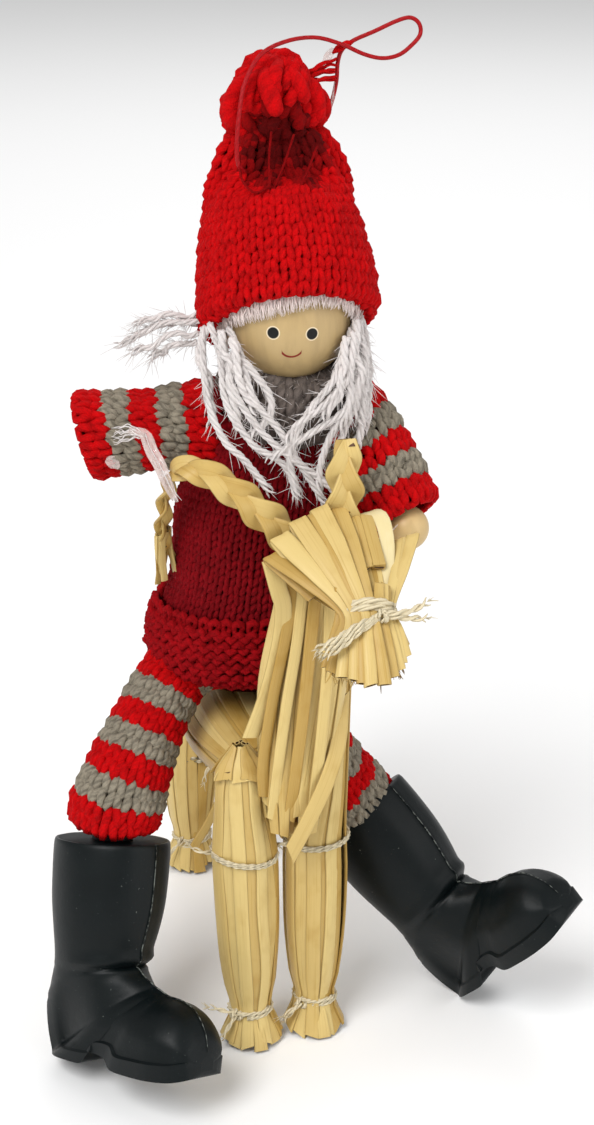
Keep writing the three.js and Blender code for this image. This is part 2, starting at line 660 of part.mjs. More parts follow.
// One length of cord: out of the left of the hat's gather, over the tuft, round the eye of the
// loop, back past itself and down behind the tuft's right side.
const cordRoute = [
  [-5.4, -6.6, 180.6], [-6.8, -8.4, 182.9], [-6.9, -8.5, 187.0], [-6.2, -7.6, 192.0], [-4.8, -5.8, 196.8],
  [-1.4, -3.4, 201.2], [3.8, -0.8, 203.0], [9.6, 1.2, 203.2], [14.6, 1.6, 201.8], [19.0, 1.6, 199.8],
  [22.6, 1.8, 198.9], [25.8, 1.9, 199.4], [28.3, 2.1, 201.1], [29.9, 2.4, 202.9], [29.8, 2.8, 204.8],
  [28.3, 3.3, 205.9], [25.9, 3.7, 205.4], [21.6, 4.2, 203.5], [17.6, 4.3, 201.9], [15.5, 4.5, 200.2],
  [14.8, 4.9, 197.8], [14.7, 5.4, 194.4], [14.0, 6.2, 190.4], [12.7, 6.9, 186.8], [11.4, 6.8, 184.8],
].map(([x, y, z]) => at(x, y, z));
const cordSteps = 42;
function cordTube() {
  const section = new THREE.Shape();
  for (let i = 0; i < 8; i += 1) {
    const angle = (2 * Math.PI * i) / 8;
    section[i ? 'lineTo' : 'moveTo'](cordRadius * Math.cos(angle), cordRadius * Math.sin(angle));
  }
  section.closePath();
  const extrudePath = new THREE.CatmullRomCurve3(cordRoute, false, 'centripetal');
  return new THREE.ExtrudeGeometry(section, { steps: cordSteps, extrudePath, curveSegments: 1 });
}
addPiece('hanging_loop', cordTube(), redCord);

export default ornament;
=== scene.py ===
"""A knitted gnome riding a straw goat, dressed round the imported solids.

Lengths are millimetres in the goat's own frame: X = 0 is its middle line, it faces -Y, and Z = 0 is
where its feet stand. They become metres in the row frame when a mesh is made.
"""

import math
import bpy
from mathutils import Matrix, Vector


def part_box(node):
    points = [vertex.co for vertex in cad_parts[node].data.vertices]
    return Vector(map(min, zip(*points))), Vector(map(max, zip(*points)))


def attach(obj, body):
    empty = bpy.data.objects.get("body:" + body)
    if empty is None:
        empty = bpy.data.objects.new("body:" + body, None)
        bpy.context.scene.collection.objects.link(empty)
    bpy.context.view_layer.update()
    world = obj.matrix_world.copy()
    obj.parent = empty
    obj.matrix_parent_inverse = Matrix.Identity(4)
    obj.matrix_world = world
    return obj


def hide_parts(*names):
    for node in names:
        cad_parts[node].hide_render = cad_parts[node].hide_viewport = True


bl_info = {
    "name": "Straw Goat Ornament",
    "version": (1, 0, 0),
    "blender": (4, 5, 0),
    "location": "View3D > Sidebar > Ornament",
    "description": "Builds a straw goat with a knitted gnome rider, a hanging ornament",
    "category": "Add Mesh",
}

import bpy
import numpy as np
from bpy.props import FloatProperty, FloatVectorProperty, IntProperty, PointerProperty
from mathutils import Vector

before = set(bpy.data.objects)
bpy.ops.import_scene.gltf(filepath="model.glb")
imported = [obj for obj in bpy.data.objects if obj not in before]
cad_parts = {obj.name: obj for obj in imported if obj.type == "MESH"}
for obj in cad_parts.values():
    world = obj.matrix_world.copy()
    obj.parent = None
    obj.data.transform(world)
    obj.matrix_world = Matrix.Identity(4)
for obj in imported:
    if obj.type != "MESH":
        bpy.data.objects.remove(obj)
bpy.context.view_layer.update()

MM = 0.001
TURN = 2 * math.pi
HIND_FEET_Y = 60.0  # how far behind the goat's middle its hind feet stand


def stand_point():
    """The goat's own origin in the row frame, in metres, found from its hind feet."""
    low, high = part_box("goat_leg_hind_left")
    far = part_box("goat_leg_hind_right")[1]
    return np.array([(low.x + far.x) / 2, (low.y + high.y) / 2 - HIND_FEET_Y * MM, 0.0])


STAND = stand_point()


def in_row(point):
    """A place in the goat's millimetres as a place in the row frame, in metres."""
    return Vector(np.asarray(point, float) * MM + STAND)


# ---- Curves and surfaces --------------------------------------------------------------------


def unit(vectors):
    return vectors / np.maximum(np.linalg.norm(vectors, axis=-1, keepdims=True), 1e-9)


def spline(points, share):
    """Smooth rows through the given rows, at shares from 0 to 1 of the way."""
    rows = np.asarray(points, float)
    last = len(rows) - 1
    rows = np.vstack([2 * rows[0] - rows[1], rows, 2 * rows[-1] - rows[-2]])
    where = np.clip(share, 0, 1) * last
    start = np.minimum(where.astype(int), last - 1)
    f = (where - start)[:, None]
    a, b, c, d = (rows[start + k] for k in range(4))
    leave, arrive = (c - a) / 2, (d - b) / 2
    return (
        (2 * f**3 - 3 * f**2 + 1) * b
        + (f**3 - 2 * f**2 + f) * leave
        + (3 * f**2 - 2 * f**3) * c
        + (f**3 - f**2) * arrive
    )


def run_of(path):
    """How far along the path each of its points is."""
    steps = np.linalg.norm(np.diff(path[:, :3], axis=0), axis=1)
    return np.concatenate([[0.0], np.cumsum(steps)])


def curve(points, count):
    """`count` rows evenly spaced along a smooth curve through a few points."""
    fine = spline(points, np.linspace(0, 1, 24 * len(points)))
    run = run_of(fine)
    wanted = np.linspace(0, run[-1], count)
    return np.column_stack([np.interp(wanted, run, fine[:, k]) for k in range(fine.shape[1])])


def tangents(path, closed=False):
    if closed:
        return unit(np.roll(path, -1, 0) - np.roll(path, 1, 0))
    return unit(np.gradient(path, axis=0))


def carried(path, first=(0.3, 0.2, 0.93)):
    """An up vector carried along a path without twisting about it."""
    along = tangents(path)
    up = np.asarray(first, float)
    ups = []
    for direction in along:
        up = up - direction * (up @ direction)
        up = up / max(np.linalg.norm(up), 1e-9)
        ups.append(up)
    return np.array(ups)


class Skin:
    """A tube-like surface through stations [x, y, z, half width, half depth].

    `lean` tips each ring back about X by its own angle in degrees; without it the rings stand across
    the line through the stations, with their width along `side`. `relief(turn, rows)` scales the
    rings, and `shear` slides a ring along the tube by its depth on the ring.
    """

    def __init__(self, stations, side=(1, 0, 0), lean=None, relief=None, shear=0.0):
        self.stations = np.array(stations, float)
        self.side = np.array(side, float)
        self.lean = None if lean is None else np.radians(np.array(lean, float))[:, None]
        self.relief = relief
        self.shear = shear
        self.shares = np.linspace(0, 1, 161)
        lines = [self.at(self.shares, np.full(161, turn)) for turn in (0.0, 1.6, 3.1, 4.7)]
        self.run = np.mean([run_of(line) for line in lines], axis=0)
        self.length = self.run[-1]
        self.facing = 1.0
        turns = np.linspace(0, TURN, 161)
        here, normal = self.place(self.run, turns)
        self.facing = np.sign(np.sum((here - spline(self.stations, self.shares)[:, :3]) * normal))

    def rings(self, share):
        rows = spline(self.stations, share)
        step = 1e-3
        ahead = spline(self.stations[:, :3], np.minimum(share + step, 1))
        along = unit(ahead - spline(self.stations[:, :3], np.maximum(share - step, 0)))
        if self.lean is not None:
            lean = spline(self.lean, share)[:, 0]
            wide = np.tile([1.0, 0.0, 0.0], (len(share), 1))
            deep = np.column_stack([np.zeros(len(share)), np.cos(lean), -np.sin(lean)])
        else:
            wide = unit(self.side - along * (along @ self.side)[:, None])
            deep = np.cross(along, wide)
        return rows, along, wide, deep

    def at(self, share, turn):
        rows, along, wide, deep = self.rings(share)
        scale = 1.0 if self.relief is None else self.relief(turn, rows)
        out = (rows[:, 3] * scale * np.cos(turn))[:, None]
        high = (rows[:, 4] * scale * np.sin(turn))[:, None]
        return rows[:, :3] + wide * out + deep * high + along * high * self.shear

    def place(self, length, turn, lift=0.0):
        """Places and outward normals at lengths in millimetres along the tube."""
        share = np.interp(length, self.run, self.shares)
        here = self.at(share, turn)
        low, high = np.maximum(share - 2e-3, 0), np.minimum(share + 2e-3, 1)
        up = self.at(high, turn) - self.at(low, turn)
        round_it = self.at(share, turn + 0.02) - self.at(share, turn - 0.02)
        normal = unit(np.cross(round_it, up)) * self.facing
        return here + normal * np.reshape(lift, (-1, 1)), normal

    def middle(self, length):
        return spline(self.stations[:, :3], np.interp(length, self.run, self.shares))

    def evenly(self, share, length):
        """Turns that are evenly spaced over the surface round the ring at `length`."""
        turns = np.linspace(0, TURN, 121)
        ring = self.place(np.full(121, length), turns)[0]
        run = run_of(ring)
        whole, part = np.divmod(share, 1.0)
        return np.interp(part, run / run[-1], turns) + TURN * whole

    def girth(self, length):
        rows = spline(self.stations, np.interp(length, self.run, self.shares))
        return math.pi * (rows[:, 3] + rows[:, 4])


def upright(stations, relief=None):
    """A skin whose rings all lie level."""
    return Skin(stations, lean=[0] * len(stations), relief=relief)


# ---- Meshes ---------------------------------------------------------------------------------


def turns_round(count):
    """Evenly spaced turns round a ring."""
    return np.arange(count) * TURN / count


def ring_section(sides):
    angles = turns_round(sides)
    return np.column_stack([np.cos(angles), np.sin(angles)])


def straw_section():
    """A flattened straw: two nearly flat faces that meet in tight edges."""
    face = [(0.93, 0.62), (0.72, 0.88), (0.25, 1.0), (-0.25, 1.0), (-0.72, 0.88), (-0.93, 0.62)]
    return np.array([(1.0, 0.0), *face, (-1.0, 0.0), *[(x, -y) for x, y in face[::-1]]])


THREAD = ring_section(5)
YARN = ring_section(6)
FIBRE = ring_section(3)
STRAW = straw_section()


class Heap:
    """Gathers closed bodies, with their finish and their place along the strand, into one mesh."""

    def __init__(self, name, *finishes):
        self.name = name
        self.finishes = finishes
        self.points = []
        self.corners = []
        self.sizes = []
        self.slots = []
        self.places = []
        self.count = 0

    def add(self, points, *groups):
        """One closed body, turned to face outwards: points, and groups of (faces, finish, places)."""
        middle = points.mean(axis=0)
        volume = 0.0
        for faces, _, _ in groups:
            a, b, c = (points[faces[:, k]] - middle for k in (0, 1, 2))
            volume += np.sum(np.cross(a, b) * c)
            if faces.shape[1] == 4:
                d = points[faces[:, 3]] - middle
                volume += np.sum(np.cross(a, c) * d)
        for faces, finish, places in groups:
            places = np.broadcast_to(places, (*faces.shape, 2))
            if volume < 0:
                faces, places = faces[:, ::-1], places[:, ::-1]
            self.corners.append((faces + self.count).ravel())
            self.sizes.append(np.full(len(faces), faces.shape[1]))
            self.slots.append(np.broadcast_to(finish, len(faces)))
            self.places.append(places.reshape(-1, 2))
        self.points.append(points)
        self.count += len(points)

    def rings(self, rings, run, finish=0, closed=False):
        """A body through rings of points [ring, side, xyz]; `run` is each ring's place along it."""
        many, sides = rings.shape[:2]
        finish = np.broadcast_to(finish, many)
        bands = many if closed else many - 1
        i = np.arange(bands)[:, None]
        j = np.arange(sides)[None, :]
        low, high = i * sides, (i + 1) % many * sides
        after = (j + 1) % sides
        faces = np.stack([low + j, high + j, high + after, low + after], axis=-1).reshape(-1, 4)
        ahead = np.append(run, 2 * run[-1] - run[-2])
        u0, u1, v0 = (np.broadcast_to(x, (bands, sides)) for x in (ahead[i], ahead[i + 1], j / sides))
        v1 = v0 + 1 / sides
        places = np.stack([u0, v0, u1, v0, u1, v1, u0, v1], axis=-1).reshape(-1, 4, 2)
        groups = [(faces, np.repeat(finish[:bands], sides), places)]
        if not closed:
            around = np.arange(sides)
            groups.append((around[None, :], finish[:1], [run[0], 0.5]))
            groups.append((around[None, ::-1] + (many - 1) * sides, finish[-1:], [run[-1], 0.5]))
        self.add(rings.reshape(-1, 3), *groups)

    def sweep(
        self, path, up, wide, deep=None, section=YARN, finish=0, closed=False, start=0.0, hollow=None
    ):
        """A section swept along a path. `hollow` = (depth, slant) opens both ends like a cut straw."""
        many = len(path)
        deep = wide if deep is None else deep
        along = tangents(path, closed)
        across = unit(np.cross(along, up))
        high = np.cross(across, along)
        wide = np.broadcast_to(wide, many)[:, None, None]
        deep = np.broadcast_to(deep, many)[:, None, None]
        rings = path[:, None] + across[:, None] * (section[:, 0, None] * wide)
        rings = rings + high[:, None] * (section[:, 1, None] * deep)
        run = start + run_of(path)
        finishes = np.full(many, finish)
        if hollow:
            rings, run, finishes = cut_open(rings, run, finishes, path, along, section, wide, hollow)
        self.rings(rings, run, finishes, closed)

    def mesh(self):
        """All the bodies as one mesh, in metres in the row frame."""
        mesh = bpy.data.meshes.new(self.name)
        points = np.concatenate(self.points) * MM + STAND
        corners = np.concatenate(self.corners)
        sizes = np.concatenate(self.sizes)
        mesh.vertices.add(len(points))
        mesh.vertices.foreach_set("co", points.astype(np.float32).ravel())
        mesh.loops.add(len(corners))
        mesh.loops.foreach_set("vertex_index", corners.astype(np.int32))
        mesh.polygons.add(len(sizes))
        starts = np.concatenate([[0], np.cumsum(sizes)[:-1]])
        mesh.polygons.foreach_set("loop_start", starts.astype(np.int32))
        mesh.polygons.foreach_set("material_index", np.concatenate(self.slots).astype(np.int32))
        mesh.polygons.foreach_set("use_smooth", np.ones(len(sizes), bool))
        places = mesh.uv_layers.new(name="strand")
        mesh.update(calc_edges=True)
        places.uv.foreach_set("vector", np.concatenate(self.places).astype(np.float32).ravel())
        return mesh

    def build(self, replaces, slot, sharp=None):
        """Makes the piece, on the root body, in place of the nodes it replaces."""
        mesh = self.mesh()
        if sharp:
            mesh.set_sharp_from_angle(angle=math.radians(sharp))
        for finish in self.finishes:
            mesh.materials.append(finish)
        piece = bpy.data.objects.new(self.name, mesh)
        bpy.context.scene.collection.objects.link(piece)
        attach(piece, "root")
        if replaces:
            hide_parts(*replaces)
        return piece


WALL = 0.7  # a cut straw's bore as a share of its outside


def cut_open(rings, run, finishes, path, along, section, wide, hollow):
    """Slants both ends of a straw and sinks a bore into them; finish + 1, dark with painted shade, lines
    the bore.
    """
    depth, slant = hollow
    rings = rings.copy()
    extra = []
    for end, inward in ((0, 1.0), (-1, -1.0)):
        rings[end] += along[end] * (inward * slant * section[:, 0, None] * wide[end, 0])
        middle = rings[end].mean(axis=0)
        mouth = middle + (rings[end] - middle) * WALL
        extra.append((mouth, mouth + along[end] * inward * depth))
    (front, front_deep), (back, back_deep) = extra
    rings = np.concatenate([[front_deep, front], rings, [back, back_deep]])
    run = np.concatenate([[run[0] - depth, run[0] - 0.1], run, [run[-1] + 0.1, run[-1] + depth]])
    inside = finishes[0] + 1
    finishes = np.concatenate([[inside, finishes[0]], finishes[:-1], [finishes[0], inside, inside]])
    return rings, run, finishes


# ---- Materials ------------------------------------------------------------------------------


class Sock:
    """A socket in a material. Arithmetic on it adds Math nodes to the same tree."""

    def __init__(self, paint, socket):
        self.paint = paint
        self.socket = socket

    def math(self, operation, *others):
        inputs = dict(enumerate((self, *others)))
        return self.paint.node("ShaderNodeMath", {"operation": operation}, inputs)

    def flipped(self, operation, other):
        return self.paint.node("ShaderNodeMath", {"operation": operation}, {0: other, 1: self})

    def __add__(self, other):
        return self.math("ADD", other)

    def __sub__(self, other):
        return self.math("SUBTRACT", other)

    def __mul__(self, other):
        return self.math("MULTIPLY", other)

    def __truediv__(self, other):
        return self.math("DIVIDE", other)

    def __rsub__(self, other):
        return self.flipped("SUBTRACT", other)

    __radd__ = __add__
    __rmul__ = __mul__

    def step(self, low, high):
        """0 below `low`, 1 above `high`, smooth between."""
        settings = {"interpolation_type": "SMOOTHSTEP"}
        inputs = {"Value": self, "From Min": low, "From Max": high}
        return self.paint.node("ShaderNodeMapRange", settings, inputs)


class Paint:
    """One material being made. `node` adds any node: its settings first, then its inputs."""

    def __init__(self, name, **constants):
        self.material = bpy.data.materials.new(name)
        self.material.use_nodes = True
        self.tree = self.material.node_tree
        self.shader = self.tree.nodes["Principled BSDF"]
        for socket, value in constants.items():
            self.shader.inputs[socket.replace("_", " ")].default_value = value

    def feed(self, socket, value):
        if isinstance(value, Sock):
            self.tree.links.new(value.socket, socket)
        elif socket.type == "RGBA":
            socket.default_value = (*value[:3], 1.0)
        else:
            socket.default_value = value

    def node(self, kind, settings=None, inputs=None, output=0):
        node = self.tree.nodes.new(kind)
        for name, value in (settings or {}).items():
            setattr(node, name, value)
        for name, value in (inputs or {}).items():
            self.feed(node.inputs[name], value)
        return Sock(self, node.outputs[output])

    def strand(self):
        """Millimetres along the strand, and the share of a turn round it."""
        uv = self.node("ShaderNodeUVMap", {"uv_map": "strand"})
        return [self.node("ShaderNodeSeparateXYZ", None, {0: uv}, axis) for axis in (0, 1)]

    def spot(self):
        """The place on the object, in metres."""
        return self.node("ShaderNodeTexCoord", output="Object")

    def vector(self, x=0.0, y=0.0, z=0.0):
        return self.node("ShaderNodeCombineXYZ", None, {0: x, 1: y, 2: z})

    def noise(self, where, scale=1.0, detail=2.0):
        inputs = {"Vector": where, "Scale": scale, "Detail": detail}
        return self.node("ShaderNodeTexNoise", None, inputs)

    def mix(self, share, first, second):
        inputs = {0: share, 6: first, 7: second}
        return self.node("ShaderNodeMix", {"data_type": "RGBA"}, inputs, 2)

    def bump(self, height, strength, distance):
        inputs = {"Height": height, "Strength": strength, "Distance": distance}
        self.feed(self.shader.inputs["Normal"], self.node("ShaderNodeBump", None, inputs))

    def wear(self, **links):
        for name, value in links.items():
            self.feed(self.shader.inputs[name.replace("_", " ")], value)
        return self.material


PAINTS = {}


def paint_once(function):
    """Each finish is made once, and found by its words from then on."""

    def made(*words):
        key = (function.__name__, *words)
        if key not in PAINTS:
            PAINTS[key] = function(*words)
        return PAINTS[key]

    return made


def tint(code):
    """A colour written as red, green and blue in hexadecimal, as the renderer's linear numbers."""
    shares = [int(code[k : k + 2], 16) / 255 for k in (0, 2, 4)]
    return tuple(c / 12.92 if c <= 0.04045 else ((c + 0.055) / 1.055) ** 2.4 for c in shares)


def colour_property(name, description, code):
    return FloatVectorProperty(
        name=name, description=description, subtype="COLOR", min=0.0, max=1.0, default=tint(code)
    )


class OrnamentColours(bpy.types.PropertyGroup):
    """The ornament's colours."""

    straw: colour_property("Straw", "The golden outside of the straw", "d5bc7b")
    straw_deep: colour_property("Deep straw", "Straw that has browned", "b08c44")
    # Painted shade: the dark brown in a cut straw's bore and on a bundle's inner straws stands in for the
    # shade inside.
    straw_gap: colour_property("Straw bore", "The bore and the shaded core of a bundle", "5a3818")
    red: colour_property("Red yarn", "Hat and bright stripes", "c80106")
    # Painted shade: the tunic's yarn and the left sleeve's shoulder are the red darkened for the shade
    # they sit in.
    dark_red: colour_property("Dark red yarn", "The tunic", "820510")
    grey: colour_property("Grey yarn", "The pale stripes of sleeves and legs", "988f7e")
    mohair: colour_property("Mohair", "The fuzzy scarf", "6a605a")
    white: colour_property("White yarn", "The locks of hair", "ddd6d3")
    blush: colour_property("Blush yarn", "The combed fringe", "f8e8e2")
    # Painted shade: the hem is the red darkened by a share, less than the tunic.
    hem: colour_property("Hem red", "The tunic's folded hem", "9c040e")
    cord: colour_property("Cord", "The hanging loop", "9e030c")
    cotton: colour_property("Cotton", "The threads that tie the straw", "ddd0b0")
    wood: colour_property("Wood", "Head and hand", "cdb07c")
    boots: colour_property("Boots", "Moulded plastic", "030809")


def dyes():
    return bpy.context.scene.ornament_colours


def shaded(colour, share):
    """A colour darkened, or lightened, by a share."""
    return tuple(c * share for c in colour[:3])


@paint_once
def straw_paint(part):
    """Dry straw: fine ribs along it, each one its own gold; `part` is face, bore, core or pale. The bore
    and the core are darkened as painted shade.
    """
    light, deep, gap = (tuple(c) for c in (dyes().straw, dyes().straw_deep, dyes().straw_gap))
    # The bore and the core take the painted shade colour.
    if part == "bore":
        light, deep = shaded(gap, 1.0), shaded(gap, 0.5)
    if part == "core":
        light, deep = shaded(deep, 0.85), gap
    if part == "pale":
        light, deep = tint("eee4c6"), tint("dccb98")
    paint = Paint("straw_" + part, IOR=1.45, Specular_IOR_Level=0.3)
    along, round_it = paint.strand()
    straw = (along / 1000).math("FLOOR")
    own = paint.noise(paint.vector(straw * 3.7, 0.5, 0.5), 1.0, 0.0)
    ribs = paint.noise(paint.vector(along * 0.05, round_it * 34, straw), 1.0, 3.0)
    stains = paint.noise(paint.vector(along * 0.16, round_it * 2.5, straw * 1.7), 1.0, 2.0)
    browned = own.step(0.36, 0.7) * 0.85 + stains.step(0.5, 0.8) * 0.3 + ribs.step(0.5, 0.8) * 0.4
    colour = paint.mix(browned.math("MINIMUM", 1.0), light, deep)
    # Painted shade: each straw darkens towards its two edges, for the shade in the gaps between straws.
    edge = (round_it * TURN).math("COSINE").math("ABSOLUTE").step(0.9, 1.0)
    colour = paint.mix(edge * 0.55, colour, shaded(deep, 0.55))
    paint.bump(ribs, 0.3, 0.0002)
    return paint.wear(Base_Color=colour, Roughness=ribs * 0.3 + 0.24)


@paint_once
def yarn_paint(dye, twist=2.6, shade=1.0, fuzz=0.3, contrast=0.2):
    """Spun wool: two plies wind along the yarn, with loose hairs, and painted shade in the grooves
    between the plies.
    """
    colour = shaded(getattr(dyes(), dye), shade)
    paint = Paint(
        "yarn_" + dye, Roughness=0.9, Sheen_Weight=fuzz, Sheen_Roughness=0.45, Specular_IOR_Level=0.12
    )
    paint.shader.inputs["Sheen Tint"].default_value = (*shaded(colour, 1.0), 1.0)
    along, round_it = paint.strand()
    ply = ((along / twist + round_it * 2) * TURN).math("SINE")
    hairs = paint.noise(paint.vector(along * 1.1, round_it * 9 + along * 1.6, along / 90), 1.0, 3.0)
    clumps = paint.noise(paint.spot(), 260.0, 2.0)
    fine = paint.noise(paint.spot(), 5200.0, 2.0)
    # Painted shade in the ply grooves, and darker tone at random in hairs, clumps and fine fibres.
    dark = ply.step(-0.1, -1.0) * contrast + hairs.step(0.62, 0.3) * 0.4 + clumps.step(0.58, 0.4) * 0.2
    dark = dark + fine.step(0.52, 0.36) * 0.25
    tone = paint.mix(dark.math("MINIMUM", 1.0), colour, shaded(colour, 0.4))
    paint.bump(ply * contrast + hairs + fine * 0.7, 0.75, 0.00032)
    return paint.wear(Base_Color=tone)


@paint_once
def soft_paint(dye):
    """Loosely spun white yarn: long pale fibres with little dark between them."""
    colour = shaded(getattr(dyes(), dye), 1.0)
    sheen = {"Sheen_Weight": 0.6, "Sheen_Roughness": 0.4}
    paint = Paint("soft_yarn_" + dye, Roughness=0.85, Specular_IOR_Level=0.15, **sheen)
    along, round_it = paint.strand()
    fibres = paint.noise(paint.vector(along * 0.7, round_it * 14 + along * 0.8, along / 70), 1.0, 3.0)
    clumps = paint.noise(paint.spot(), 300.0, 2.0)
    dark = fibres.step(0.55, 0.3) * 0.3 + clumps.step(0.5, 0.35) * 0.15
    paint.bump(fibres, 0.6, 0.0003)
    return paint.wear(Base_Color=paint.mix(dark, colour, shaded(colour, 0.62)))


@paint_once
def lining_paint(dye):
    """Painted shade: the inside of knitted cloth, darkened for the shade seen between the stitches."""
    colour = shaded(getattr(dyes(), dye), 0.16)
    paint = Paint("lining_" + dye, Roughness=1.0, Specular_IOR_Level=0.0)
    clumps = paint.noise(paint.spot(), 1500.0, 2.0)
    return paint.wear(Base_Color=paint.mix(clumps, shaded(colour, 0.5), colour))


@paint_once
def thread_paint(dye, twist, gloss):
    """Hard-spun thread, glossier than wool, with painted shade in the grooves between its plies."""
    colour = shaded(getattr(dyes(), dye), 1.0)
    paint = Paint("thread_" + dye, Roughness=1.0 - gloss, Specular_IOR_Level=0.2)
    along, round_it = paint.strand()
    ply = ((along / twist + round_it * 2) * TURN).math("SINE")
    slubs = paint.noise(paint.vector(along * 0.5, round_it * 3, along / 40), 1.0, 3.0)
    # Painted shade in the ply grooves, and darker slubs at random.
    dark = ply.step(0.0, -1.0) * 0.3 + slubs.step(0.55, 0.3) * 0.2
    paint.bump(ply + slubs, 0.3, 0.00015)
    return paint.wear(Base_Color=paint.mix(dark, colour, shaded(colour, 0.5)))


@paint_once
def fibre_paint(dye, shade=1.0, alpha=1.0):
    """Single loose fibres."""
    colour = shaded(getattr(dyes(), dye), shade)
    paint = Paint("fibre_" + dye, Roughness=0.7, Sheen_Weight=0.4, Alpha=alpha)
    along, _ = paint.strand()
    own = paint.noise(paint.vector((along / 1000).math("FLOOR") * 2.3, 0.5, 0.5), 1.0, 0.0)
    return paint.wear(Base_Color=paint.mix(own, shaded(colour, 0.82), colour))


EYES = ((-1.03, -11.57, 151.25), (6.25, -12.53, 150.89))
EYE_RADIUS = 1.12
SMILE = (2.45, 148.7)  # x and z of the middle of the circle that the mouth is part of
SMILE_RADIUS = 2.25
SMILE_HALF = 1.85
SMILE_THICK = 0.2


def round_spot(paint, middle, radius, soft=0.12):
    """1 inside a ball of `radius` mm about a place on the ornament, 0 outside."""
    settings = {"operation": "DISTANCE"}
    inputs = {0: paint.spot(), 1: in_row(middle)}
    away = paint.node("ShaderNodeVectorMath", settings, inputs, "Value") / MM
    return away.step(radius + soft, radius - soft)


def smile_mask(paint):
    """1 on the thin curved mouth, 0 elsewhere."""
    middle = in_row((SMILE[0], 0, SMILE[1]))
    x, z = (paint.node("ShaderNodeSeparateXYZ", None, {0: paint.spot()}, axis) for axis in (0, 2))
    x, z = (x - middle.x) / MM, (z - middle.z) / MM
    ring = ((x * x + z * z).math("SQRT") - SMILE_RADIUS).math("ABSOLUTE")
    thick = ring.step(SMILE_THICK + 0.06, SMILE_THICK - 0.06)
    return thick * x.math("ABSOLUTE").step(SMILE_HALF + 0.1, SMILE_HALF - 0.1) * z.step(0.0, -0.4)


@paint_once
def wood_paint(face):
    """Turned, lacquered wood with a faint grain, and a painted face on the head, whose wood is darkened
    as painted shade under the hat.
    """
    # Painted shade: the head's wood is darker by a share; the hand's is not.
    colour = shaded(dyes().wood, 0.78 if face else 1.0)
    paint = Paint(
        "wood_face" if face else "wood", Coat_Weight=0.12, Coat_Roughness=0.35, Specular_IOR_Level=0.25
    )
    stretch = {"operation": "MULTIPLY"}
    spot = paint.node("ShaderNodeVectorMath", stretch, {0: paint.spot(), 1: (520.0, 520.0, 90.0)})
    grain = paint.noise(spot, 1.0, 4.0)
    pores = paint.noise(paint.spot(), 3200.0, 2.0)
    tone = paint.mix(grain.step(0.35, 0.75), colour, shaded(colour, 0.88))
    tone = paint.mix(pores.step(0.62, 0.75) * 0.2, tone, shaded(colour, 0.7))
    roughness = grain * 0.15 + 0.34
    if face:
        for eye in EYES:
            tone = paint.mix(round_spot(paint, eye, EYE_RADIUS + 0.16), tone, tint("f2e2c4"))
            tone = paint.mix(round_spot(paint, eye, EYE_RADIUS), tone, tint("000101"))
        tone = paint.mix(smile_mask(paint), tone, tint("7a1008"))
    paint.bump(pores + grain, 0.06, 0.0002)
    return paint.wear(Base_Color=tone, Roughness=roughness)


@paint_once
def boot_paint(part):
    """Dark moulded plastic with a satin skin, and specks of dust over it, thicker on the seam."""
    colour = shaded(dyes().boots, 1.0)
    paint = Paint("boot_plastic_" + part, Coat_Weight=0.0, Specular_IOR_Level=0.2)
    dust = paint.noise(paint.spot(), 2300.0 if part == "skin" else 1100.0, 3.0)
    smears = paint.noise(paint.spot(), 190.0, 3.0)
    dusty = dust.step(0.69, 0.8) * smears.step(0.46, 0.62)
    if part == "seam":
        dusty = dust.step(0.42, 0.62)
    tone = paint.mix(dusty * 0.6, paint.mix(smears, colour, shaded(colour, 2.0)), tint("8b918a"))
    paint.bump(smears * 0.5 + dust * 0.1, 0.2, 0.001)
    return paint.wear(Base_Color=tone, Roughness=smears * 0.15 + 0.36 + dusty * 0.3)


@paint_once
def glue_paint():
    """Clear dried glue and torn film."""
    paint = Paint("dried_glue", Roughness=0.25, IOR=1.48, Coat_Weight=0.5)
    cloud = paint.noise(paint.spot(), 900.0, 3.0)
    paint.bump(cloud, 0.4, 0.0005)
    tone = paint.mix(cloud, tint("e4dcd8"), tint("d2b4ac"))
    return paint.wear(Base_Color=tone, Alpha=cloud * 0.9 - 0.02)


@paint_once
def floor_paint():
    """A plain pale ground."""
    paint = Paint("pale_floor", Roughness=0.9, Specular_IOR_Level=0.0)
    cloud = paint.noise(paint.spot(), 2.0, 2.0)
    return paint.wear(Base_Color=paint.mix(cloud, tint("fafafa"), tint("fdfdfd")))


# ---- Straw, yarn and thread -----------------------------------------------------------------


def wander(rng, count, size, knots=3):
    """A smooth line of `count` values that strays about `size` from nothing."""
    return spline(rng.normal(0, size, (knots + 2, 1)), np.linspace(0, 1, count))[:, 0]


def shaken(path, rng, size, knots, share=1.0):
    """A path that strays a little about its own line."""
    return path + np.column_stack([wander(rng, len(path), size, knots) for _ in range(3)]) * share


def own_start(rng):
    """Where a strand's own count of millimetres begins: its tint is drawn from the thousands."""
    return 1000.0 * rng.integers(1, 400)


def rolled(along, up, angle):
    """`up` turned about the strand by an angle."""
    across = np.cross(along, up)
    angle = np.reshape(angle, (-1, 1))
    return up * np.cos(angle) + across * np.sin(angle)


CUT_DEEP = 1.5
STRAW_THICK = 0.34


def straw(heap, path, up, wide, rng, finish=0, thick=STRAW_THICK, slant=None):
    """One flattened straw with a slanted cut at both ends; finish + 1, dark with painted shade, shows in
    its bore.
    """
    slant = rng.uniform(-0.5, 0.5) if slant is None else slant
    hollow = (CUT_DEEP, slant)
    heap.sweep(path, up, wide, thick, STRAW, finish, start=own_start(rng), hollow=hollow)


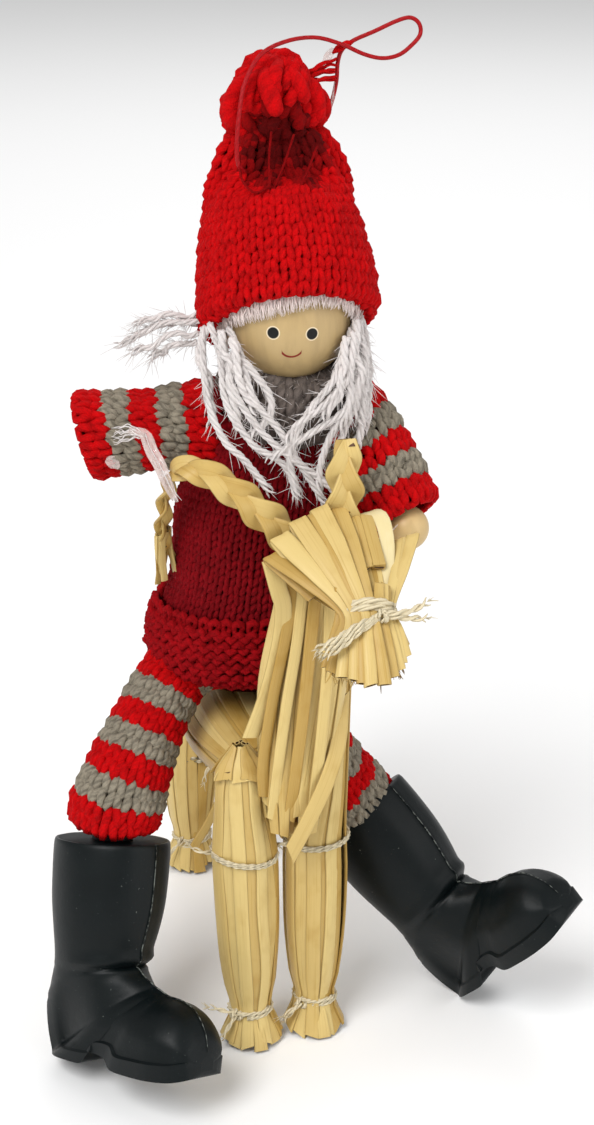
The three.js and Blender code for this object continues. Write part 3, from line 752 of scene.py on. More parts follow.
def sheaf(heap, skin, layers, rng, low=0.0, high=None, ends=(0.6, 2.0), drift=0.05):
    """Straws laid along a skin. Each layer is (count, share of the way out, width, finish)."""
    high = skin.length if high is None else high
    for count, out, width, finish in layers:
        turned = rng.uniform(0, 1)
        for k in range(count):
            first = low + rng.uniform(0, ends[0])
            lengths = np.linspace(first, high - rng.uniform(0, ends[1]), 20)
            share = turned + (k + rng.normal(0, 0.12)) / count
            turn = skin.evenly(share, (low + high) / 2) + wander(rng, 20, drift)
            path, normal = skin.place(lengths, turn, rng.uniform(-0.3, 0.05) + 0.3 * (k % 2))
            middle = skin.middle(lengths)
            path = middle + (path - middle) * out
            wide = np.minimum(width / 2 * rng.uniform(0.9, 1.15), skin.girth(lengths) * 0.85 / count)
            up = rolled(tangents(path), normal, rng.normal(0, 0.12) + wander(rng, 20, 0.06))
            straw(heap, path, up, wide, rng, finish)


def ribbon(heap, path, lateral, wide, rng, finish=0, thick=STRAW_THICK, slant=None):
    """A straw whose width keeps to one direction, so that it can fold over itself."""
    up = np.cross(np.asarray(lateral, float), tangents(path))
    straw(heap, path, up, wide, rng, finish, thick, slant)


def strand(heap, path, radius, rng, finish=0, section=YARN, taper=0.0):
    """A single round thread, thinned at both ends by `taper`."""
    many = len(path)
    ends = np.minimum(np.arange(many), np.arange(many)[::-1]) / max(many / 4, 1)
    thick = radius * (1 - taper * (1 - np.clip(ends, 0, 1)))
    heap.sweep(path, carried(path), thick, section=section, finish=finish, start=own_start(rng))


def plied(heap, path, radius, pitch, rng, plies=2, frayed=0.0):
    """Plies twisted round a line, opening up over the last `frayed` mm."""
    run = run_of(path)
    along, up = tangents(path), carried(path)
    across = np.cross(along, up)
    loose = np.clip((run - (run[-1] - frayed)) / max(frayed, 1e-6), 0, 1) ** 2 if frayed else 0 * run
    for ply in range(plies):
        angle = TURN * (run / pitch + ply / plies)
        out = across * np.cos(angle)[:, None] + up * np.sin(angle)[:, None]
        line = path + out * (radius * (0.5 + 0.8 * loose))[:, None]
        thick = radius * (0.56 - 0.42 * loose)
        heap.sweep(line, out, thick, start=own_start(rng))


def hair(heap, root, way, length, rng, radius=0.07, finish=0, droop=0.0, curl=0.35, steps=6):
    """One loose fibre that leaves `root` along `way`."""
    way = unit(np.asarray(way, float) + rng.normal(0, 0.25, 3))
    share = np.linspace(0, 1, steps)[:, None]
    bend = unit(rng.normal(0, 1, 3)) * length * curl
    path = np.asarray(root) + way * length * share + bend * share**2
    path[:, 2] -= droop * length * share[:, 0] ** 2
    strand(heap, path, radius, rng, finish, FIBRE, 0.7)


SPREAD = 0.2  # how far a loop's legs lean out, as a share of a wale
REACH = 0.8  # how far a loop runs into its neighbours, in courses


class Knit:
    """A knitted cloth's stitches: wales round it, and a course's height and yarn's radius in mm."""

    def __init__(self, wales, course, yarn, samples=12, section=YARN, relief=0.5, slack=0.06):
        self.wales = wales
        self.course = course
        self.yarn = yarn
        self.section = section
        self.relief = relief
        self.slack = slack
        self.turns = np.arange(wales * samples) * TURN / samples

    def ripple(self, rng, size):
        """Uneven stitches: a value at every loop, joined up round the course."""
        loops = 2 * self.wales
        places = np.arange(loops) * TURN / 2
        return np.interp(self.turns, places, rng.normal(0, size, loops), period=TURN * self.wales)

    def cover(self, heap, skin, first, courses, rng, finish=None):
        """Courses round a skin. A negative relief shows the purl side."""
        t = self.turns
        plump = 1 - 0.16 * np.cos(2 * t) * np.sign(self.relief)
        for course in range(courses):
            x = t / TURN + SPREAD * np.sin(2 * t) + self.ripple(rng, self.slack)
            rise = course + REACH * np.cos(t) + self.ripple(rng, self.slack)
            lift = -self.relief * np.cos(2 * t) + self.ripple(rng, self.slack * 2)
            turn = TURN * x / self.wales
            path, out = skin.place(first + self.course * rise, turn, lift)
            slot = finish(course, path) if finish else 0
            yarn = self.yarn * plump
            start = own_start(rng)
            heap.sweep(path, out, yarn, None, self.section, slot, closed=True, start=start)


class Roll:
    """A rolled edge: a flattened round section carried round a ring.

    `line(turn)` gives the ring's points, their outward ways and their upward ways. Lengths run from
    under the roll, over its outside, to its top.
    """

    def __init__(self, line, thick, tall, begin=-120.0):
        self.line = line
        self.thick = thick
        self.tall = tall
        self.begin = math.radians(begin)
        self.across = (thick + tall) / 2

    def place(self, length, turn, lift=0.0):
        points, outward, upward = self.line(turn)
        angle = self.begin + np.broadcast_to(length, len(points)) / self.across
        out = (self.thick * np.cos(angle) + lift * np.cos(angle))[:, None]
        high = (self.tall * np.sin(angle) + lift * np.sin(angle))[:, None]
        normal = outward * np.cos(angle)[:, None] + upward * np.sin(angle)[:, None]
        return points + outward * out + upward * high, unit(normal)


def lining(heap, skin, low, high, inset, finish=0, mouth=0.0, sides=40, many=24):
    """A body just under the stitches, dark with the lining's painted shade, sunk by `mouth` mm at its
    high end.
    """
    lengths = np.linspace(low, high, many)
    insets = np.full(many, inset)
    if mouth:
        lengths = np.append(lengths, [high, high - mouth])
        insets = np.append(insets, [inset + 1.0, inset + 1.0])
    turns = turns_round(sides)
    rings = [skin.place(np.full(sides, at), turns, -by)[0] for at, by in zip(lengths, insets)]
    heap.rings(np.array(rings), run_of(np.column_stack([lengths] * 3)), finish)


# ---- The straw goat -------------------------------------------------------------------------

BODY = [
    (-1.0, -13, 60.4, 9.0, 5.6),
    (-3.6, 8, 61, 11.8, 8.5),
    (-2.2, 34, 61, 11.6, 8.5),
    (0, 58, 61, 11.0, 8.2),
    (0, 67, 60.7, 12.0, 8.7),
]
NECK = [
    (0.4, -22.4, 51, 4.8, 2.4),
    (1.4, -20.2, 66, 6.8, 3.2),
    (3.2, -18.8, 82, 8.0, 3.6),
    (5.8, -18.2, 100, 7.2, 3.4),
    (6.8, -17.2, 112, 7.0, 2.6),
]
FOOT = ((0.3, 6.3), (3.2, 5.4), (7.8, 3.5), (14.0, 4.7), (25.0, 5.8), (37.0, 6.1))
FRONT_LEFT = (-6.9, -15.2, -0.03)  # x and y of a foot, and how far its leg leans out per mm
FRONT_RIGHT = (6.9, -13.2, 0.006)
HIND_LEFT = (-6.9, 60.0, 0.0)
HIND_RIGHT = (6.9, 60.0, 0.0)
FRONT_LEFT_TOP = [
    (-8.3, -16.0, 46, 5.9, 5.4),
    (-9.0, -17.0, 56, 4.8, 4.4),
    (-9.2, -17.8, 63.5, 4.2, 3.6),
    (-9.1, -17.4, 69.5, 1.1, 0.9),
]
FRONT_RIGHT_TOP = [
    (7.2, -13.2, 46, 5.8, 5.2),
    (9.2, -13.6, 57, 3.9, 3.6),
    (10.8, -13.8, 70, 2.6, 2.2),
    (11.6, -13.8, 84, 2.2, 1.6),
]
HIND_LEFT_TOP = [(-7.0, 59.6, 48, 5.2, 4.9), (-7.3, 58.8, 60, 4.2, 3.6)]
HIND_RIGHT_TOP = [(7.0, 59.6, 48, 5.2, 4.9), (7.3, 58.8, 60, 4.2, 3.6)]


LOOSE_RIBBON = [
    (11.0, -18.6, 78.2),
    (9.8, -21.8, 70.9),
    (7.1, -24.8, 64.5),
    (2.7, -26.6, 56.2),
    (-1.1, -26.8, 49.1),
]
STRAY_STRAW = [(-1.6, 53.0, 19.0), (-4.6, 52.2, 13.6), (-8.1, 51.0, 8.8)]
# Straws that leave the bundle of the neck, from under the head down to the left.
NECK_STRAYS = [
    ([(-3.8, -22.2, 110.0), (-2.6, -23.4, 104.6), (-1.6, -23.2, 100.4), (-2.2, -22.8, 93.2),
      (-4.6, -22.6, 83.0), (-8.0, -22.4, 73.4)], 1.8),
    ([(0.6, -20.8, 106.0), (-0.8, -23.0, 96.0), (-3.6, -23.2, 82.0), (-5.6, -23.0, 68.0),
      (-5.4, -22.8, 60.4)], 1.3),
    ([(3.0, -20.8, 106.0), (1.2, -23.2, 94.0), (-1.2, -24.0, 80.0), (-3.0, -24.0, 66.0),
      (-4.0, -23.6, 55.6)], 1.25),
    ([(5.6, -20.8, 106.0), (3.8, -23.4, 94.0), (2.0, -24.4, 78.0), (0.2, -24.4, 63.0),
      (-1.0, -23.8, 52.6)], 1.35),
    ([(8.0, -20.4, 106.0), (7.4, -23.0, 92.0), (6.0, -24.2, 76.0), (4.0, -24.0, 56.0)], 1.3),
]


def leg_skin(stance, top):
    """A leg from its flared foot to its top."""
    x, y, lean = stance
    shin = [(x + lean * max(0.0, z - 3.2), y, z, r, 0.95 * r) for z, r in FOOT]
    return Skin(shin + top)


def straw_heap(name):
    """A heap whose finishes come in pairs: straw 0, 2 or 4, with its bore after it. Finish 2 is the
    core's painted shade, and each bore is dark with painted shade.
    """
    parts = ("face", "bore", "core", "bore", "pale", "bore")
    return Heap(name, *[straw_paint(part) for part in parts])


def leg_straws(name, stance, top, seed, folded):
    """One leg's bundle; its straws are creased `folded` mm below their tips."""
    rng = np.random.default_rng(seed)
    heap = straw_heap(name)
    sizes = bpy.context.scene.ornament_sizes
    skin = leg_skin(stance, top)
    # The inner layers wear the core's painted shade, dark where they show between the outer straws.
    layers = [
        (sizes.leg_straws, 1.0, sizes.straw_width, 0),
        (9, 0.68, sizes.straw_width, 2),
        (4, 0.3, sizes.straw_width, 2),
    ]
    high = skin.length - folded
    sheaf(heap, skin, layers, rng, 0.5, high, (1.2, 0.3 if folded else 3.5), 0.04)
    if folded:
        point = [(10, 1.25, sizes.straw_width * 1.2, 0)]
        sheaf(heap, skin, point, rng, high - 0.9, skin.length + 0.2, (0.3, 0.3), 0.02)
    flare = np.linspace(0.2, 7.2, 10)  # one broad straw over the front of the foot
    path, normal = skin.place(flare, np.full(10, -1.45), 0.35)
    straw(heap, path, normal, np.linspace(1.5, 1.0, 10), rng, 0, slant=0.0)
    return heap


# Each leg: its stance, its top, its seed and how far below its tips the straws are creased. Then, where
# a single straw leaves it: its line, steps, way across, half width, seed, and thickness and slant.
LEGS = [
    ("leg_front_left", FRONT_LEFT, FRONT_LEFT_TOP, 11, 5.6),
    ("leg_front_right", FRONT_RIGHT, FRONT_RIGHT_TOP, 12, 0,
     LOOSE_RIBBON, 22, (0.84, 0.1, -0.54), 1.8, 16, (0.2, -0.9)),
    ("leg_hind_left", HIND_LEFT, HIND_LEFT_TOP, 13, 0, STRAY_STRAW, 8, (0.8, 0.2, 0.5), 1.1, 15, ()),
    ("leg_hind_right", HIND_RIGHT, HIND_RIGHT_TOP, 14, 0),
]
STRAW_EDGE = 50  # edges sharper than this many degrees stay sharp


class ORNAMENT_OT_goat_legs(bpy.types.Operator):
    """Four bundles of flattened straw, flared below the ankle"""

    bl_idname = "ornament.goat_legs"
    bl_label = "Goat Legs"

    def execute(self, context):
        for node, stance, top, seed, folded, *stray in LEGS:
            heap = leg_straws("straws_" + node, stance, top, seed, folded)
            if stray:
                points, steps, across, half, own_seed, cut = stray
                ribbon(heap, curve(points, steps), across, half, np.random.default_rng(own_seed), 0, *cut)
            heap.build(["goat_" + node], "straw", sharp=STRAW_EDGE)
        return {"FINISHED"}


# The body's layers of straw, from the outside in: how many, share of the way out, finish. Finish 2 is the
# core's painted shade, on the layer that shows between the outer straws.
BODY_LAYERS = [(30, 1.0, 0), (24, 0.87, 2), (18, 0.72, 0), (13, 0.56, 0), (8, 0.4, 0), (4, 0.22, 0)]


class ORNAMENT_OT_goat_body(bpy.types.Operator):
    """The goat's barrel, and the flat sheaf that stands up as its neck"""

    bl_idname = "ornament.goat_body"
    bl_label = "Goat Body"

    def execute(self, context):
        rng = np.random.default_rng(21)
        width = context.scene.ornament_sizes.straw_width
        self.body(rng, width)
        self.neck(rng, width)
        return {"FINISHED"}

    def body(self, rng, width):
        heap = straw_heap("straws_body")
        layers = [(count, out, width, finish) for count, out, finish in BODY_LAYERS]
        sheaf(heap, Skin(BODY), layers, rng, ends=(2.0, 2.5), drift=0.05)
        heap.build(["goat_body"], "straw", sharp=STRAW_EDGE)

    def neck(self, rng, width):
        heap = straw_heap("straws_neck")
        # The inner layer wears the core's painted shade.
        layers = [(20, 1.0, width * 1.05, 0), (10, 0.55, width, 2)]
        sheaf(heap, Skin(NECK), layers, rng, ends=(9.0, 2.0), drift=0.04)
        for points, half in NECK_STRAYS:
            ribbon(heap, curve(points, 24), (0.97, 0.2, 0.12), half, rng, 0, 0.3)
        heap.build(["goat_neck"], "straw", sharp=STRAW_EDGE)


# Each folded strip of the head: its crown, half its width there, the tie, and its end.
HEAD_STRIPS = [
    ((-4.3, -24.0, 111.5), 1.45, (6.6, -37.6, 104.6), (3.4, -43.0, 95.4)),
    ((-2.3, -23.4, 115.1), 2.05, (7.4, -38.6, 105.2), (4.8, -45.4, 95.4)),
    ((1.3, -22.4, 117.7), 1.85, (8.4, -39.2, 105.6), (6.8, -47.2, 95.4)),
    ((3.9, -21.8, 118.3), 0.6, (9.2, -39.4, 105.6), (8.2, -48.0, 95.0)),
    ((5.7, -21.2, 119.4), 1.85, (10.2, -39.8, 105.9), (9.4, -48.6, 94.8)),
    ((9.2, -20.8, 118.9), 1.85, (11.6, -39.8, 105.9), (12.0, -48.4, 94.6)),
    ((20.6, -25.2, 113.4), 1.2, (15.2, -37.8, 105.0), (16.2, -43.6, 96.4)),
    ((22.8, -26.4, 114.6), 1.25, (15.8, -37.4, 104.8), (17.2, -43.0, 97.2)),
]
# Short ends below the tie: where each passes under it, its tip and half its width.
MUZZLE_ENDS = [
    ((6.2, -37.0, 104.2), (2.4, -42.0, 96.2), 0.9),
    ((13.2, -39.2, 105.6), (13.8, -46.6, 95.0), 1.5),
    ((14.2, -38.8, 105.2), (15.6, -45.0, 95.6), 1.3),
    ((14.8, -38.0, 104.8), (17.2, -41.6, 98.0), 1.6),
    ((12.2, -36.8, 103.2), (12.6, -43.2, 94.0), 1.3),
    ((10.2, -36.8, 103.2), (9.0, -43.8, 93.8), 1.3),
    ((8.4, -36.4, 103.2), (5.8, -42.4, 94.4), 1.3),
    ((11.4, -35.2, 102.4), (11.0, -40.4, 94.2), 1.4),
    ((14.2, -35.4, 103.0), (15.0, -40.2, 95.4), 1.3),
]
HEAD_WAY = (0.87, 0.05, 0.36)  # the way that a strip's width lies
FACE_OUT = np.array([0.05, -0.72, 0.69])  # out of the fan's visible face
PALE_RIBBON = [
    (14.6, -18.8, 115.6),
    (15.6, -20.6, 117.6),
    (17.2, -23.6, 117.4),
    (17.4, -28.0, 113.4),
    (15.8, -33.6, 107.8),
    (14.2, -38.4, 105.2),
]
FORELOCK = [
    (12.8, -20.6, 114.6),
    (13.0, -22.2, 117.3),
    (13.2, -23.6, 117.4),
    (13.4, -27.2, 114.8),
    (13.6, -31.4, 111.8),
    (13.6, -31.9, 110.9),
    (13.5, -30.6, 110.2),
]
FOLD_EDGE = 45  # edges sharper than this many degrees stay sharp on folded straw
PITH_HAIRS = 150
FILL_STRAWS = 14
FORELOCK_UNDER = [(13.4, -27.0, 112.6), (13.6, -32.6, 108.8), (13.0, -39.0, 105.6)]


def folded(crown, tie, end, rng):
    """A strip's line: up behind the fan, sharply over its crown, down to the tie and out."""
    crown, tie, end = (np.array(p, float) for p in (crown, tie, end))
    fall = unit(tie - crown)
    back = crown + fall * 12 - FACE_OUT * 2.6
    behind = curve([back, crown + fall * 6 - FACE_OUT * 1.4, crown + fall * 0.9 - FACE_OUT * 0.75], 9)
    crest = [
        crown + fall * 0.15 - FACE_OUT * 0.55,
        crown - FACE_OUT * 0.1,
        crown + fall * 0.2 + FACE_OUT * 0.3,
    ]
    belly = (crown + tie) / 2 + FACE_OUT * rng.uniform(0.9, 1.3)
    below = (tie + end) / 2 + FACE_OUT * 0.5
    front = curve([crown + fall * 1.1 + FACE_OUT * 0.45, belly, tie, below, end], 26)
    return np.vstack([behind, crest, front])


def muzzle_sizes(path, tie, wide, narrow=0.85):
    """Half widths and depths: broad at the crown, pinched by the tie, a flattened tube at the end."""
    away = path[:, :3] - np.array(tie)
    gap = np.linalg.norm(away, axis=1)
    beyond = np.clip(-away[:, 2] / 8, 0, 1)
    crown = np.clip(gap / 15, 0, 1) * (beyond <= 0)
    half = narrow + (wide - narrow) * crown + (1.35 - narrow) * beyond
    return half, STRAW_THICK + 0.85 * beyond


class ORNAMENT_OT_goat_head(bpy.types.Operator):
    """The head: flat straws folded over at the crown and gathered into a muzzle"""

    bl_idname = "ornament.goat_head"
    bl_label = "Goat Head"

    def execute(self, context):
        rng = np.random.default_rng(31)
        heap = straw_heap("straws_head")
        for crown, wide, tie, end in HEAD_STRIPS:
            path = folded(crown, tie, end, rng)
            half, thick = muzzle_sizes(path, tie, wide)
            ribbon(heap, path, HEAD_WAY, half, rng, 0, thick, rng.uniform(-0.25, 0.25))
        self.muzzle(heap, rng)
        self.fill(heap, rng)
        self.forelock(heap, rng)
        heap.build(["goat_head"], "straw", sharp=FOLD_EDGE)
        return {"FINISHED"}

    def muzzle(self, heap, rng):
        """Cut ends under the tie, opened into flattened tubes, over shredded pith."""
        for tie, tip, wide in MUZZLE_ENDS:
            above = np.array(tie) + (0.2, 1.6, 4.6)
            path = curve([above, tie, (np.array(tie) + tip) / 2 + FACE_OUT * 0.4, tip], 16)
            half = np.linspace(0.9, wide, 16)
            ribbon(heap, path, HEAD_WAY, half, rng, 0, np.linspace(0.3, 0.75, 16))
        for _ in range(PITH_HAIRS):
            x = rng.uniform(3.0, 16.6)
            root = (x, -43.2 + 0.05 * (x - 9.5) ** 2 + rng.uniform(-2.2, 2.0), rng.uniform(95, 97.5))
            # Pith hairs right of the middle wear the core's painted shade.
            hair(heap, root, (0.1, -0.1, -1), rng.uniform(1.5, 3.6), rng, 0.16, 2 * (x > 8), curl=0.3)

    def fill(self, heap, rng):
        """Shorter straws behind the fan, in the core's painted shade."""
        for share in np.arange(FILL_STRAWS) / (FILL_STRAWS - 1):
            crown = np.array([-1.5 + 15 * share, -22.6 + 1.5 * share, 108.2 + 5.5 * share])
            tie = np.array([8.8 + 6.2 * share, -36.0 + rng.uniform(-1, 1), 103.2])
            path = curve([crown, (crown + tie) / 2 - FACE_OUT * 0.6, tie], 14)
            ribbon(heap, path, HEAD_WAY, np.linspace(1.4, 0.8, 14), rng, 2)

    def forelock(self, heap, rng):
        path = curve(PALE_RIBBON, 24)
        ribbon(heap, path, (0.96, 0.1, 0.2), np.linspace(1.75, 0.95, 24), rng, 4, 0.2)
        for shift, tilt in ((-1.2, 0.45), (1.25, -0.3)):
            path = curve(FORELOCK, 18) + np.array([shift, 0, 0.1 * shift])
            ribbon(heap, path, (0.97, 0.1, 0.1 + tilt), 1.35, rng, 0, 0.3, 0.0)
        for shift in (-1.9, -0.7, 0.5, 1.7):
            path = curve(FORELOCK_UNDER, 14)
            path += np.outer(np.linspace(1.0, 0.45, 14), [shift, 0, 0])
            ribbon(heap, path, (0.97, 0.1, 0.2), 0.62, rng, 0, 0.4)


HORN_LEFT = [
    (0.6, -19.4, 113, 3.5, 1.7),
    (-4.6, -18.2, 118, 3.4, 1.7),
    (-10.4, -16.2, 122.9, 3.1, 1.6),
    (-15.8, -12.6, 125.6, 2.9, 1.5),
    (-19.6, -7.4, 123.6, 2.6, 1.4),
    (-20.8, -2.6, 115.4, 2.4, 1.3),
    (-20.8, 1.2, 106, 2.1, 1.2),
    (-20.0, 3.6, 97.5, 1.7, 1.0),
]
HORN_RIGHT = [
    (10.6, -21.2, 117.6, 3.5, 1.8),
    (10.6, -21.4, 124.0, 3.5, 1.7),
    (10.8, -20.8, 129.0, 3.1, 1.5),
    (11.6, -19.4, 132.0, 2.4, 1.3),
]
HORN_SIDE = (0.55, 0.25, 0.8)
HORN_TUFT = 9  # loose straws at the whole horn's tip
PLAIT_TURN = 20.0  # how long one strip takes to cross over and back, in mm


def plait(heap, skin, rng, high=None):
    """Three flat straws braided along a skin."""
    high = skin.length if high is None else high
    lengths = np.linspace(0.0, high, int(high * 2.2))
    share = np.interp(lengths, skin.run, skin.shares)
    rows, along, wide, deep = skin.rings(share)
    for k in range(3):
        phase = TURN * (lengths / PLAIT_TURN + k / 3)
        side = np.arcsin(0.985 * np.sin(phase)) / 1.4
        over = np.sin(2 * phase)
        out = (rows[:, 3] - 1.6)[:, None] * side[:, None]
        lift = (0.55 * rows[:, 4])[:, None] * over[:, None]
        path = rows[:, :3] + wide * out + deep * lift
        up = rolled(tangents(path), deep, 0.5 * np.cos(phase))
        width = np.minimum(2.05, rows[:, 3] * 0.56)
        straw(heap, path, up, width, rng, 0, 0.32)


class ORNAMENT_OT_horns(bpy.types.Operator):
    """Two braided horns; the left one is whole and ends in a frayed tuft"""

    bl_idname = "ornament.horns"
    bl_label = "Braided Horns"

    def execute(self, context):
        rng = np.random.default_rng(41)
        left = straw_heap("braid_horn_left")
        skin = Skin(HORN_LEFT, side=HORN_SIDE)
        plait(left, skin, rng, skin.length - 7)
        for k in range(HORN_TUFT):
            lengths = np.linspace(skin.length - 12, skin.length, 8)
            path, normal = skin.place(lengths, np.full(8, TURN * k / HORN_TUFT), -0.4)
            path += np.linspace(0, 1, 8)[:, None] ** 2 * rng.normal(0, 1.3, 3)
            straw(left, path, normal, 0.75, rng, 0, 0.2)
        left.build(["goat_horn_left"], "braid", sharp=FOLD_EDGE)
        right = straw_heap("braid_horn_right")
        plait(right, Skin(HORN_RIGHT, side=(1, -0.2, 0)), rng)
        right.build(["goat_horn_right"], "braid", sharp=FOLD_EDGE)
        return {"FINISHED"}


COTTON_PITCH = 5.0  # how long the cotton takes to twist once round, in mm
THREAD_STRAY = 0.05  # how far a wound thread strays from its oval, in mm


def ring_path(middle, wide, deep, wraps, step, rng, tip, begin):
    """A thread wound `wraps` times round an oval, each wrap `step` mm above the last."""
    count = int(28 * wraps)
    turn = begin + np.linspace(0, TURN * wraps, count)
    rise = step * (turn - begin) / TURN - step * wraps / 2 + tip * np.cos(turn)
    x = middle[0] + (wide + wander(rng, count, THREAD_STRAY, 6)) * np.cos(turn)
    y = middle[1] + (deep + wander(rng, count, THREAD_STRAY, 6)) * np.sin(turn)
    return np.column_stack([x, y, middle[2] + rise])


def knot(heap, place, rng, radius, size):
    """A small overhand knot: a loop that crosses itself."""
    turn = np.linspace(0, TURN * 1.4, 26)
    loop = np.column_stack([np.sin(turn), 0.6 * np.sin(2 * turn + 0.6), np.cos(turn)])
    plied(heap, np.asarray(place) + loop * size, radius, 3.0, rng)


def tails(heap, starts, rng, radius):
    """Loose ends, each through its own few points, fraying at the tip."""
    for points in starts:
        path = curve(points, 24)
        plied(heap, path, radius, COTTON_PITCH, rng, frayed=3.0)
        way = unit(path[-1] - path[-4])
        for _ in range(7):
            hair(heap, path[-2], way, rng.uniform(0.8, 2.2), rng, 0.09, curl=0.3)


# Each tie: node, middle, half width, half depth, wraps, tip, thread radius, knot, and its tails.
TIES = [
    ("ankle_tie_front_left", (-7.15, -15.2, 7.8), 4.35, 4.15, 1.2, 0.2, 0.55, (-10.6, -17.8, 7.6),
     [[(-10.6, -17.8, 7.6), (-13.6, -18.4, 9.4), (-16.4, -18.0, 10.4)],
      [(-10.6, -17.8, 7.6), (-12.6, -18.8, 5.2), (-14.2, -18.8, 2.2)]]),
    ("ankle_tie_front_right", (6.95, -13.2, 7.8), 4.35, 4.15, 1.2, -0.2, 0.55, (3.4, -16.0, 7.4),
     [[(3.4, -16.0, 7.4), (1.4, -17.4, 7.0), (-0.6, -17.6, 5.8)],
      [(3.4, -16.0, 7.4), (1.2, -16.8, 5.8), (-0.4, -16.6, 3.8)]]),
    ("ankle_tie_hind_left", (-6.9, 60, 7.8), 4.35, 4.15, 1.3, 0.2, 0.5, (-9.6, 56.6, 7.8),
     [[(-9.6, 56.6, 7.8), (-12.0, 55.4, 6.6), (-13.6, 55.0, 4.0)]]),
    ("ankle_tie_hind_right", (6.9, 60, 7.8), 4.35, 4.15, 1.3, 0.2, 0.5, (8.8, 56.6, 7.8),
     [[(8.8, 56.6, 7.8), (11.6, 55.4, 6.8), (13.4, 55.2, 4.4)]]),
    ("hind_leg_tie", (0.0, 60, 30.0), 13.6, 6.9, 2, 0.3, 0.5, (-2.0, 53.0, 30.2),
     [[(-2.0, 53.0, 30.2), (-4.4, 51.6, 28.4), (-5.2, 51.2, 25.6)]]),
]


def cotton_heap(node):
    return Heap("thread_" + node, thread_paint("cotton", COTTON_PITCH, 0.3))


class ORNAMENT_OT_ties(bpy.types.Operator):
    """Cotton threads that bind ankles, legs and muzzle, with knots and frayed ends"""

    bl_idname = "ornament.ties"
    bl_label = "Ties"

    def execute(self, context):
        for k, tie in enumerate(TIES):
            self.bind(np.random.default_rng(50 + k), *tie)
        self.front_leg_tie(np.random.default_rng(58))
        self.muzzle_tie(np.random.default_rng(59))
        return {"FINISHED"}

    def bind(self, rng, node, middle, wide, deep, wraps, tip, radius, knot_at, ends):
        heap = cotton_heap(node)
        path = ring_path(middle, wide, deep, wraps, 0.85, rng, tip, -1.9)
        plied(heap, path, radius, COTTON_PITCH, rng, plies=3)
        knot(heap, knot_at, rng, radius * 0.9, 1.0)
        tails(heap, ends, rng, radius * 0.85)
        heap.build([node], "cotton")

    def front_leg_tie(self, rng):
        heap = cotton_heap("front_leg_tie")
        left = ring_path((-8.3, -15.9, 44.6), 6.7, 6.4, 1.55, 0.5, rng, -0.9, math.pi)
        right = ring_path((7.1, -13.3, 45.4), 6.6, 6.1, 1.6, 0.5, rng, 0.2, math.pi * 1.1)
        for path in (left, right):
            plied(heap, path, 0.46, 6.5, rng, plies=3)
        bridge = [left[-1], (-0.4, -15.8, 45.4), right[0]]
        plied(heap, curve(bridge, 20), 0.5, COTTON_PITCH, rng)
        start = left[0]
        ends = [[start, start + (-2.2, -1.2, 1.2), start + (-4.4, -1.0, 2.4)]]
        tails(heap, ends, rng, 0.45)
        heap.build(["front_leg_tie"], "cotton")

    def muzzle_tie(self, rng):
        heap = cotton_heap("muzzle_tie")
        for shift in (-0.7, 0.5):
            turn = np.linspace(0, TURN, 40) + 0.7
            middle = np.array([11.8, -36.5, 104.0]) + np.array([-0.1, -0.45, -0.75]) * shift
            out = np.array([0.97, 0.0, -0.1]) * 4.8
            high = np.array([0.05, -0.72, 0.6]) * 4.7
            path = middle + np.outer(np.cos(turn), out) + np.outer(np.sin(turn), high)
            plied(heap, shaken(path, rng, 0.08, 5), 0.75, 9.0, rng, plies=3)
        knot(heap, (12.9, -41.6, 105.2), rng, 0.6, 0.9)
        ends = [
            [(12.4, -41.4, 105.2), (8.1, -43.6, 104.8), (3.8, -45.2, 103.2), (-0.2, -45.6, 101.4)],
            [(12.4, -41.4, 104.9), (8.2, -43.8, 104.2), (4.2, -45.3, 102.4), (0.6, -45.6, 100.6)],
            [(12.4, -41.4, 104.6), (8.4, -43.8, 103.6), (4.8, -45.2, 101.6), (1.6, -45.4, 99.8)],
            [(13.6, -41.0, 105.4), (18.4, -40.8, 105.4), (22.4, -39.6, 106.6)],
            [(13.6, -41.0, 105.0), (18.6, -40.8, 104.0), (22.0, -40.0, 103.4)],
        ]
        tails(heap, ends, rng, 0.65)
        heap.build(["muzzle_tie"], "cotton")


# ---- The knitted gnome ----------------------------------------------------------------------

HEAD_MIDDLE = (4.1, -0.6, 151.0)
HEAD_RADIUS = 12.1
HAND_MIDDLE = (24.9, -13.4, 111.0)
HAND_RADIUS = 4.4
BALL_SIDES = 96


def ball(name, middle, radius, finish, node, slot):
    """A turned ball with a neck hole's soft rim underneath."""
    heap = Heap(name, finish)
    slope = np.linspace(-math.pi / 2 + 0.02, math.pi / 2 - 0.02, 60)
    turn = turns_round(BALL_SIDES)
    dent = 1 - 0.05 * np.exp(-(((slope + math.pi / 2) / 0.16) ** 2))
    out = radius * dent * np.cos(slope)
    rings = np.stack(
        [np.outer(out, np.cos(turn)), np.outer(out, np.sin(turn)),
         np.repeat((radius * dent * np.sin(slope))[:, None], BALL_SIDES, axis=1)], axis=-1)
    heap.rings(rings + np.array(middle), (slope + 2) * radius)
    heap.build([node], slot)


class ORNAMENT_OT_wooden_balls(bpy.types.Operator):
    """The wooden head with its painted face, and the wooden hand"""

    bl_idname = "ornament.wooden_balls"
    bl_label = "Wooden Head and Hand"

    def execute(self, context):
        ball("wood_head", HEAD_MIDDLE, HEAD_RADIUS, wood_paint(True), "head", "beech")
        ball("wood_hand", HAND_MIDDLE, HAND_RADIUS, wood_paint(False), "hand_right", "beech")
        return {"FINISHED"}


